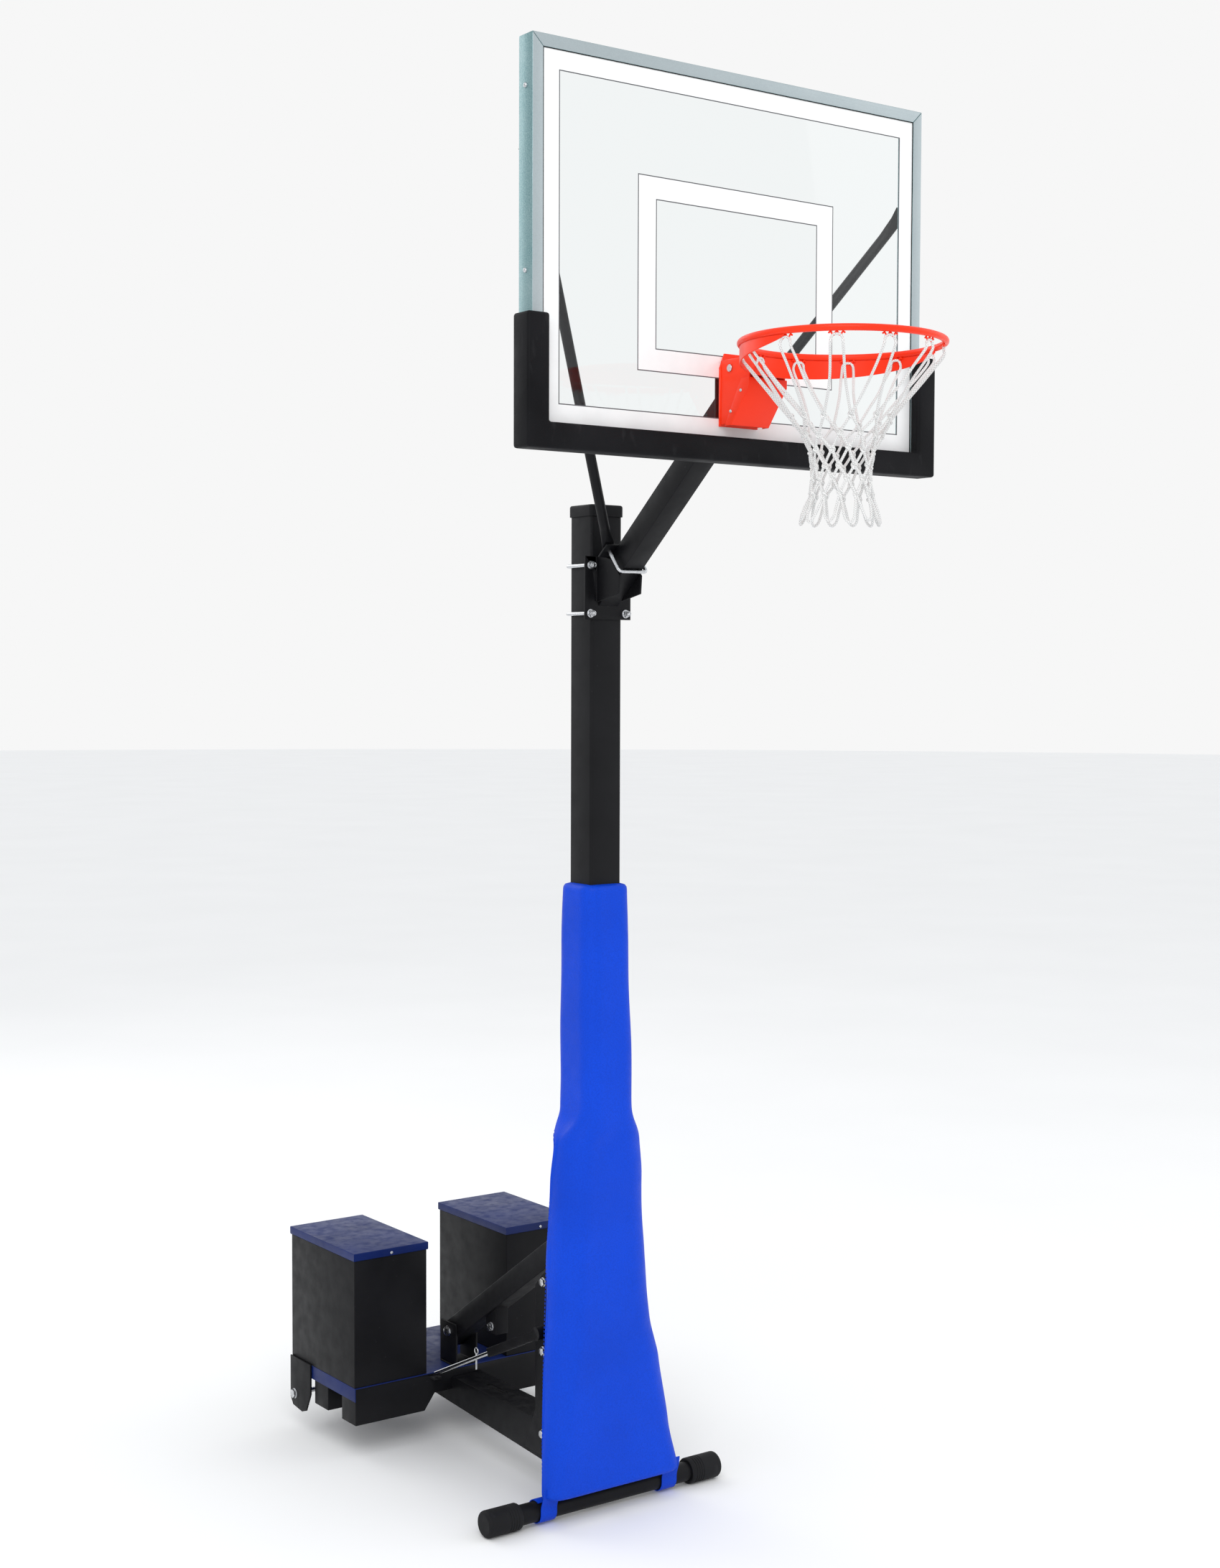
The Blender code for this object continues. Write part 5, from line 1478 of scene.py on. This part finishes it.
@dataclass
class MastPad:
    """The padded sleeve with its sewn edges, and the straps at its foot."""

    shift: float
    shape: PadShape = field(default_factory=PadShape)
    levels: int = 132
    cap: float = 0.006

    def build(self) -> None:
        """Builds the sleeve, its stitching and its straps."""
        sleeve = self.sleeve()
        self.stitches()
        self.closures()
        for side, sign in (("left", -1), ("right", 1)):
            self.strap(side, sign)

    def heights(self) -> list[float]:
        """The heights of the sleeve's rows, from the top down."""
        shape = self.shape
        return [shape.top - (shape.top - shape.bottom) * i / self.levels for i in range(self.levels + 1)]

    def sleeve(self) -> bpy.types.Object:
        """The stuffed sheet: an outer and an inner face that meet in rounded edges.

        Returns:
            The sleeve's object.
        """
        shape = self.shape
        rows = []
        for z in self.heights():
            near_end = min(shape.top - z, z - shape.bottom)
            full = math.sqrt(max(0.0, 1 - (1 - min(1.0, near_end / 0.013)) ** 2)) * 0.86 + 0.14
            outer, inner = shape.line(z, 1.0), shape.line(z, 0.0)
            count = len(outer)
            ring: list[Vector] = []
            back: list[Vector] = []
            for i, ((ox, oy), (ix, iy)) in enumerate(zip(outer, inner)):
                from_edge = min(i, count - 1 - i)
                edge = math.sqrt(max(0.0, 1 - (1 - min(1.0, from_edge / 3.2)) ** 2)) * 0.84 + 0.16
                mx, my = ix * 0.42 + ox * 0.58, iy * 0.42 + oy * 0.58
                k = full * edge
                fold = self.fold(i / (count - 1), z) * k
                outward = Vector((ox - ix, oy - iy, 0)).normalized()
                ring.append(Vector((mx + (ox - mx) * k, my + (oy - my) * k + self.shift, z)) + outward * fold)
                back.append(Vector((mx + (ix - mx) * k, my + (iy - my) * k + self.shift, z)))
            rows.append(ring + back[::-1])
        mesh = lattice(rows, False, True)
        made = piece("mast_pad_sleeve", mesh, BLUE_VINYL, BASE, "post_pad", angle=60)
        self.puff(made)
        smooth = made.modifiers.new("soften", "SUBSURF")
        smooth.levels = smooth.render_levels = 1
        return made

    def fold(self, across: float, z: float) -> float:
        """How far the cover stands out of its plain shape, from slow folds and creases.

        Args:
            across: the share of the way from the left edge to the right.
            z: the height.

        Returns:
            The height of the fold, in metres.
        """
        wave = 0.0016 * math.sin(9.0 * z + 5.0 * across) + 0.0010 * math.sin(21.0 * z - 11.0 * across + 1.0)
        near = math.exp(-(((z - 1.045) / 0.075) ** 2))
        pleats = 0.0012 * near * math.sin(across * 34.0 + 1.5 * math.sin(z * 40.0))
        sag = 0.0030 * math.exp(-(((z - 0.62) / 0.12) ** 2)) * math.sin(across * 12.0 + z * 18.0)
        return wave + pleats + sag

    def puff(self, made: bpy.types.Object) -> None:
        """Fills the cover with air pressure in a short cloth run, and keeps the change small.

        Args:
            made: the sleeve, whose inner face and edges stay where they are.
        """
        data = made.data
        rest = [v.co.copy() for v in data.vertices]
        width = len(self.shape.line(1.5, 1.0))
        held = made.vertex_groups.new(name="held")
        per_row = 2 * width
        rows = len(rest) // per_row
        for r in range(rows):
            for c in range(per_row):
                fixed = c >= width - 2 or c < 2 or r < 2 or r >= rows - 2
                held.add([r * per_row + c], 1.0 if fixed else 0.25, "REPLACE")
        cloth = made.modifiers.new("air", "CLOTH")
        settings = cloth.settings
        settings.quality = 4
        settings.mass = 0.4
        settings.tension_stiffness = settings.compression_stiffness = 22
        settings.shear_stiffness = 8
        settings.bending_stiffness = 4
        settings.use_pressure = True
        settings.uniform_pressure_force = 2.5
        settings.vertex_group_mass = "held"
        settings.effector_weights.gravity = 0.0
        cloth.point_cache.frame_start, cloth.point_cache.frame_end = 1, 14
        scene = bpy.context.scene
        for step in range(1, 15):
            scene.frame_set(step)
        graph = bpy.context.evaluated_depsgraph_get()
        blown = made.evaluated_get(graph).data
        moved = [v.co.copy() for v in blown.vertices]
        made.modifiers.remove(cloth)
        scene.frame_set(1)
        for vertex, before, after in zip(data.vertices, rest, moved):
            change = after - before
            if change.length > self.cap:
                change *= self.cap / change.length
            vertex.co = before + change
        data.update()
        log.info("sleeve filled, %d points", len(rest))

    def stitches(self) -> None:
        """Two rows of thread near each of the sleeve's side edges."""
        shape = self.shape
        parts = []
        z = shape.top - 0.02
        while z > shape.bottom + 0.022:
            for inset in (3, 5):
                outer, lower = shape.line(z, 1.0), shape.line(z - 0.006, 1.0)
                for k in (inset, len(outer) - 1 - inset):
                    start = Vector((outer[k][0] * 1.004, outer[k][1] * 1.004 + self.shift, z))
                    end = Vector((lower[k][0] * 1.004, lower[k][1] * 1.004 + self.shift, z - 0.006))
                    parts.append(rod([start, (start + end) / 2, end], 0.0006, 5))
            z -= 0.0105
        piece("sleeve_stitches", joined(parts), BLUE_WEBBING, BASE, angle=60)

    def closures(self) -> None:
        """Hook-and-loop tabs that close the sleeve behind the mast."""
        shape = self.shape
        for index in range(5):
            z = 1.655 - index * 0.122
            rows = []
            for dz in (-0.024, 0.024):
                line = shape.line(z + dz, 1.0)
                right = [p for p in line if p[1] > 0][len([p for p in line if p[1] > 0]) // 2 :]
                left = [(-x, y) for x, y in right]
                points = left[-9:][::-1] + right[-9:]
                ordered = sorted(points)
                for lift in (0.0006, 0.0030):
                    rows.append([Vector((x, y + lift + self.shift, z + dz)) for x, y in ordered])
            loop = [rows[0], rows[1], rows[3], rows[2]]
            mesh = lattice([list(r) for r in zip(*loop)], False, True)
            piece(f"sleeve_tab_{index}", mesh, BLUE_WEBBING, BASE)

    def strap(self, side: str, sign: int) -> None:
        """A webbing loop from the sleeve's corner round the foot tube.

        Args:
            side: left or right.
            sign: not used.
        """
        low, high, middle = node_box(f"pad_strap_{side}")
        radius = (high.z - low.z) / 2 + 0.0006
        path = [
            Vector((0, self.shift - 0.0935, 0.104)),
            Vector((0, self.shift - 0.0895, 0.080)),
            Vector((0, middle.y - radius * 1.03, middle.z + 0.018)),
        ]
        for i in range(25):
            a = math.radians(180 + 300 * i / 24)
            path.append(Vector((0, middle.y + radius * math.cos(a), middle.z + radius * math.sin(a))))
        path.append(Vector((0, middle.y - radius * 0.25, middle.z + radius + 0.001)))
        curve = smoothed(path, 3)
        rows = []
        half = (high.x - low.x) / 2
        for i, point in enumerate(curve):
            ahead, behind = curve[min(i + 1, len(curve) - 1)], curve[max(i - 1, 0)]
            along = (ahead - behind).normalized()
            out = Vector((1, 0, 0)).cross(along) * -1
            ring = []
            for x, t in ((-half, -1), (-half + 0.003, -1.2), (half - 0.003, -1.2), (half, -1), (half, 1), (half - 0.003, 1.2), (-half + 0.003, 1.2), (-half, 1)):
                ring.append(point + Vector((middle.x + x, 0, 0)) + out * 0.0011 * t)
            rows.append(ring)
        piece(f"foot_strap_{side}", lattice(rows, False, True), BLUE_WEBBING, BASE, f"pad_strap_{side}")


@dataclass
class Mast:
    """The square mast with its cap."""

    def build(self) -> None:
        """Builds the mast and its cap."""
        refined("post", BLACK_COAT, BASE, 0.0)
        low, high, middle = node_box("post_cap")
        rows = []
        half = (high.x - low.x) / 2
        corner = 0.0115
        profile = ((-0.0035, 0.0, 0.0), (0.0, 0.0012, 0.0), (0.0, 0.026, 0.0), (-0.0008, 0.0292, 0.0), (-0.0032, 0.0316, 0.0), (-0.008, 0.0322, 0.0), (-0.03, 0.0330, 0.0))
        for grow, up, _ in profile:
            ring = []
            size = half + grow
            r = max(corner + grow * 0.5, 0.003)
            for k, (sx, sy) in enumerate(((1, -1), (1, 1), (-1, 1), (-1, -1))):
                for i in range(7):
                    a = math.radians(90 * k - 90 + 15 * i)
                    x = sx * (size - r) + r * math.cos(a)
                    y = sy * (size - r) + r * math.sin(a)
                    ring.append(Vector((middle.x + x, middle.y + y, low.z + up)))
            rows.append(ring)
        piece("mast_cap", lattice(rows, False, True), CAP_PLASTIC, BASE, "post_cap")


@dataclass
class Base:
    """The welded base: foot tube, rail, plates, strut, beams and tray."""

    shift: float

    def build(self) -> None:
        """Builds every fixed piece of the base."""
        for node in ("rail", "mast_plate_left", "mast_plate_right", "brace_lug", "crossbeam_front", "crossbeam_rear"):
            refined(node, BLACK_COAT, BASE, 0.0013)
        refined("diagonal_brace", BLACK_COAT, BASE, 0.0016)
        # The deck's dark blue is a painted reflection on black steel.
        refined("deck", BLUE_REFLECTION_COAT, BASE, 0.0012)
        for side in ("left", "right"):
            refined(f"axle_plate_{side}", BLACK_COAT, BASE, 0.0012)
            self.foot_cap(side)
        self.foot_tube()
        for level in ("upper", "middle", "lower"):
            HexBolt(f"mast_bolt_{level}", Axis.X, 0.006, 0.0115, 0.008, BASE).build()
        HexBolt("brace_bolt", Axis.X, 0.006, 0.0115, 0.008, BASE).build()
        HexBolt("brace_pin", Axis.X, 0.008, 0.0135, 0.009, BASE).build()
        HexBolt("axle", Axis.X, 0.008, 0.0135, 0.009, BASE).build()
        self.welds()

    def foot_tube(self) -> None:
        """The round tube across the front."""
        low, high, middle = node_box("foot_tube")
        r = (high.z - low.z) / 2
        profile = [(r, low.x), (r, high.x), (r - 0.003, high.x), (r - 0.003, low.x)]
        piece("foot_tube_round", turned(Axis.X, (middle.y, middle.z), profile, 64), BLACK_COAT, BASE, "foot_tube")

    def foot_cap(self, side: str) -> None:
        """A rubber end with a rounded face, a collar and grip grooves."""
        low, high, middle = node_box(f"foot_cap_{side}")
        sign = -1 if side == "left" else 1
        end = low.x if side == "left" else high.x
        outer = (high.z - low.z) / 2
        inner = 0.0273

        def at(depth: float) -> float:
            """The X of a point this far in from the end face."""
            return end - sign * depth

        profile: list[Pair] = [(0.0006, at(0.0)), (outer * 0.62, at(0.0))]
        for i in range(9):
            a = math.radians(90 * i / 8)
            profile.append((outer - 0.010 + 0.010 * math.sin(a), at(0.010 - 0.010 * math.cos(a))))
        for groove in range(4):
            start = 0.064 + groove * 0.008
            profile += [(outer, at(start)), (outer - 0.0013, at(start + 0.0012))]
            profile += [(outer - 0.0013, at(start + 0.0030)), (outer, at(start + 0.0042))]
        profile += [(outer, at(0.101)), (outer - 0.002, at(0.105)), (inner + 0.001, at(0.105))]
        profile += [(inner, at(0.104)), (inner, at(0.006)), (0.0006, at(0.006))]
        piece(f"foot_cap_{side}_rubber", turned(Axis.X, (middle.y, middle.z), profile, 64), RUBBER, BASE, f"foot_cap_{side}")

    def welds(self) -> None:
        """Weld beads where the mast, its plates and the tubes meet."""
        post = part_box("post")
        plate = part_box("mast_plate_left")
        top = plate[1].z
        for sign, name in ((-1, "left"), (1, "right")):
            x = sign * (post[1].x + 0.0018)
            front = post[0].y + 0.010
            rear = post[1].y - 0.010
            corners = [Vector((x, front, top + 0.0012)), Vector((x, rear, top + 0.0012))]
            bead(f"weld_plate_{name}", corners, BASE, 0.0030)
        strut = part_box("diagonal_brace")
        half = 0.03175
        y = post[1].y + CLEAR + 0.006 + 0.0012
        centre_z = (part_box("diagonal_brace")[1].z) - 0.085
        up = half / math.cos(math.radians(33.9))
        x = half + 0.0008
        square = [(-x, y, centre_z - up), (x, y, centre_z - up), (x, y, centre_z + up), (-x, y, centre_z + up)]
        bead("weld_strut", [Vector(p) for p in square], BASE, 0.0030, True)
        log.debug("strut spans %s", strut)
        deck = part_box("deck")
        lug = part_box("brace_lug")
        for sign, name in ((-1, "left"), (1, "right")):
            x = sign * (lug[1].x + 0.001)
            corners = [Vector((x, lug[0].y + 0.006, deck[1].z + 0.0012)), Vector((x, lug[1].y - 0.006, deck[1].z + 0.0012))]
            bead(f"weld_lug_{name}", corners, BASE, 0.0028)


@dataclass
class Ballast:
    """The two ballast boxes with their lids."""

    def build(self) -> None:
        """Builds the boxes, lids and their screws."""
        for side in ("left", "right"):
            refined(f"ballast_box_{side}", BLACK_COAT, BASE, 0.0022, 0.05)
            # The lids' dark blue is a painted reflection on black steel.
            refined(f"box_lid_{side}", BLUE_REFLECTION_COAT, BASE, 0.0022, 0.05)
            self.screws(side)

    def screws(self, side: str) -> None:
        """The lid's screws through its skirt."""
        low, high, middle = node_box(f"box_lid_{side}")
        z = low.z + 0.009
        places = {
            "front": (Vector((middle.x, low.y, z)), Vector((0, -1, 0))),
            "back": (Vector((middle.x, high.y, z)), Vector((0, 1, 0))),
        }
        for where, (at, out) in places.items():
            PanScrew(f"lid_screw_{side}_{where}", at, out, BASE, 0.0045).build()


@dataclass
class RunningGear:
    """The two wheels on the axle."""

    def build(self) -> None:
        """Builds the wheels."""
        for side in ("left", "right"):
            self.wheel(side)

    def wheel(self, side: str) -> None:
        """A solid tyre with ribs on a dished hub with a bearing boss."""
        low, high, middle = node_box(f"wheel_{side}")
        across = (middle.y, middle.z)
        outer = (high.z - low.z) / 2
        x = middle.x
        half = 0.022
        tread = [(outer - 0.030, x - half + 0.004)]
        tread += [(outer - 0.026, x - half), (outer - 0.009, x - half), (outer - 0.003, x - half + 0.003)]
        for i in range(5):
            at = x - half + 0.0065 + i * 0.0075
            tread += [(outer, at), (outer, at + 0.0045), (outer - 0.0018, at + 0.0052), (outer - 0.0018, at + 0.0068)]
        tread += [(outer - 0.003, x + half - 0.003), (outer - 0.009, x + half), (outer - 0.026, x + half)]
        tread += [(outer - 0.030, x + half - 0.004)]
        body = WHEEL_BODIES[side]
        tyre = piece(f"wheel_{side}_tyre", turned(Axis.X, across, tread, 72), TYRE, body, f"wheel_{side}")
        bore, boss, wide = 0.0084, 0.022, 0.030
        rim = outer - 0.0302
        right = [(bore, wide), (boss - 0.002, wide), (boss, wide - 0.002), (boss, 0.012), (boss + 0.006, 0.0085)]
        right += [(rim - 0.008, 0.0085), (rim - 0.004, 0.014), (rim, half - 0.005)]
        profile = [(r, x + at) for r, at in right] + [(r, x - at) for r, at in reversed(right)]
        piece(f"wheel_{side}_hub", turned(Axis.X, across, profile, 64), CAP_PLASTIC, body)
        log.debug("tyre %s", tyre.name)


@dataclass
class Lever:
    """The transport lever with its plated bar and hitch pin."""

    pivot: Pair
    angle: float = 25.2
    length: float = 0.612
    bar_start: float = 0.145
    bar_radius: float = 0.0065
    x: float = -0.1195

    def build(self) -> None:
        """Builds the lever's pieces."""
        refined("lever_arm", BLACK_COAT, LEVER, 0.0014)
        a = math.radians(-self.angle)
        along = Vector((0, math.cos(a), math.sin(a)))
        hub = Vector((self.x, *self.pivot))
        path = [hub + along * self.bar_start, hub + along * 0.4, hub + along * self.length]
        piece("lever_bar_plated", rod(path, self.bar_radius, 32), CHROME, LEVER, "lever_bar")
        at = hub + along * 0.362
        down, up = at + Vector((0, 0, -0.034)), at + Vector((0, 0, 0.014))
        parts = [rod([down, at, up], 0.0025, 16)]
        loop = []
        for i in range(28):
            a = 2 * math.pi * i / 28
            loop.append(up + Vector((0, math.sin(a) * 0.009, 0.006 - math.cos(a) * 0.009)))
        parts.append(rod(loop, 0.0012, 8, True))
        piece("lever_pin_plated", joined(parts), ZINC, LEVER, "lever_pin")


@dataclass
class Studio:
    """The floor, the light and the camera."""

    shift: float
    focal: float = 49.83
    camera_at: tuple[float, float, float] = (-3.4008, -4.784, 2.2717)
    yaw: float = 35.7943
    pitch: float = -2.8899
    roll: float = 0.1921

    def build(self) -> None:
        """Builds the floor, the lights, the world and the camera."""
        self.floor()
        self.world()
        self.lamp("key", (-4.2, -5.6, 6.4), 5.0, 190.0)
        self.lamp("fill", (5.6, -3.0, 4.2), 5.0, 40.0)
        self.lamp("back", (-1.5, 6.5, 5.5), 4.5, 90.0)
        self.camera()
        bpy.context.scene.view_settings.view_transform = "Standard"

    def floor(self) -> None:
        """The pale floor."""
        mesh = bmesh.new()
        bmesh.ops.create_circle(mesh, cap_ends=True, cap_tris=False, segments=64, radius=60.0)
        data = bpy.data.meshes.new("studio_floor")
        mesh.to_mesh(data)
        mesh.free()
        made = bpy.data.objects.new("studio_floor", data)
        made.location.z = -0.0005
        bpy.context.scene.collection.objects.link(made)
        data.materials.append(SHOP.material(PlainBackdrop("studio_floor")))

    def world(self) -> None:
        """An even white surround: it lights the hoop softly, and shows white behind it."""
        world = bpy.data.worlds.new("studio")
        bpy.context.scene.world = world
        world.use_nodes = True
        tree = world.node_tree
        tree.nodes.clear()
        out = tree.nodes.new("ShaderNodeOutputWorld")
        seen, light = tree.nodes.new("ShaderNodeBackground"), tree.nodes.new("ShaderNodeBackground")
        seen.inputs[0].default_value = (1.0, 1.0, 1.0, 1.0)
        seen.inputs[1].default_value = 0.93
        light.inputs[0].default_value = (0.97, 0.985, 1.0, 1.0)
        light.inputs[1].default_value = 0.92
        path = tree.nodes.new("ShaderNodeLightPath")
        mix = tree.nodes.new("ShaderNodeMixShader")
        tree.links.new(path.outputs["Is Camera Ray"], mix.inputs[0])
        tree.links.new(light.outputs[0], mix.inputs[1])
        tree.links.new(seen.outputs[0], mix.inputs[2])
        tree.links.new(mix.outputs[0], out.inputs[0])

    def lamp(self, name: str, at: Sequence[float], size: float, power: float) -> None:
        """A square soft box that looks at the hoop's middle.

        Args:
            name: the lamp's name.
            at: its place.
            size: its side.
            power: its power in watts.
        """
        data = bpy.data.lights.new(name, "AREA")
        data.size, data.energy = size, power
        made = bpy.data.objects.new(name, data)
        made.location = at
        aim = Vector((0, 0, 1.7)) - Vector(at)
        made.rotation_euler = aim.to_track_quat("-Z", "Y").to_euler()
        bpy.context.scene.collection.objects.link(made)

    def camera(self) -> None:
        """The camera, low on the hoop's left front."""
        yaw, pitch, roll = (math.radians(v) for v in (self.yaw, self.pitch, self.roll))
        ahead = Vector((math.sin(yaw) * math.cos(pitch), math.cos(yaw) * math.cos(pitch), math.sin(pitch)))
        right = Vector((math.cos(yaw), -math.sin(yaw), 0))
        up = right.cross(ahead)
        right, up = (
            right * math.cos(roll) + up * math.sin(roll),
            up * math.cos(roll) - right * math.sin(roll),
        )
        data = bpy.data.cameras.new("camera")
        data.sensor_fit = "AUTO"
        data.sensor_width = 36.0
        data.lens = self.focal
        made = bpy.data.objects.new("camera", data)
        turn = Matrix((right, up, -ahead)).transposed().to_4x4()
        place = Vector(self.camera_at) + Vector((0, self.shift, 0))
        made.matrix_world = Matrix.Translation(place) @ turn
        data.clip_start, data.clip_end = 0.05, 200.0
        bpy.context.scene.collection.objects.link(made)
        bpy.context.scene.camera = made


def main() -> None:
    """Builds the hoop in order."""
    logging.basicConfig(level=logging.INFO, format="%(name)s: %(message)s")
    shift = node_box("post")[2].y
    ring = Ring()
    lever_pin = node_box("lever_arm")
    pivot = (0.085 + shift, 0.467)
    log.info("mast stands at y %.4f, lever arm from y %.3f", shift, lever_pin[0].y)
    builders = (
        Backboard(),
        ring,
        Net(ring),
        Boom(shift=shift),
        Mast(),
        MastPad(shift),
        Base(shift),
        Ballast(),
        RunningGear(),
        Lever(pivot),
        Studio(shift),
    )
    for builder in builders:
        log.info("building %s", type(builder).__name__)
        builder.build()
    bpy.context.view_layer.update()


if __name__ == "__main__":
    main()
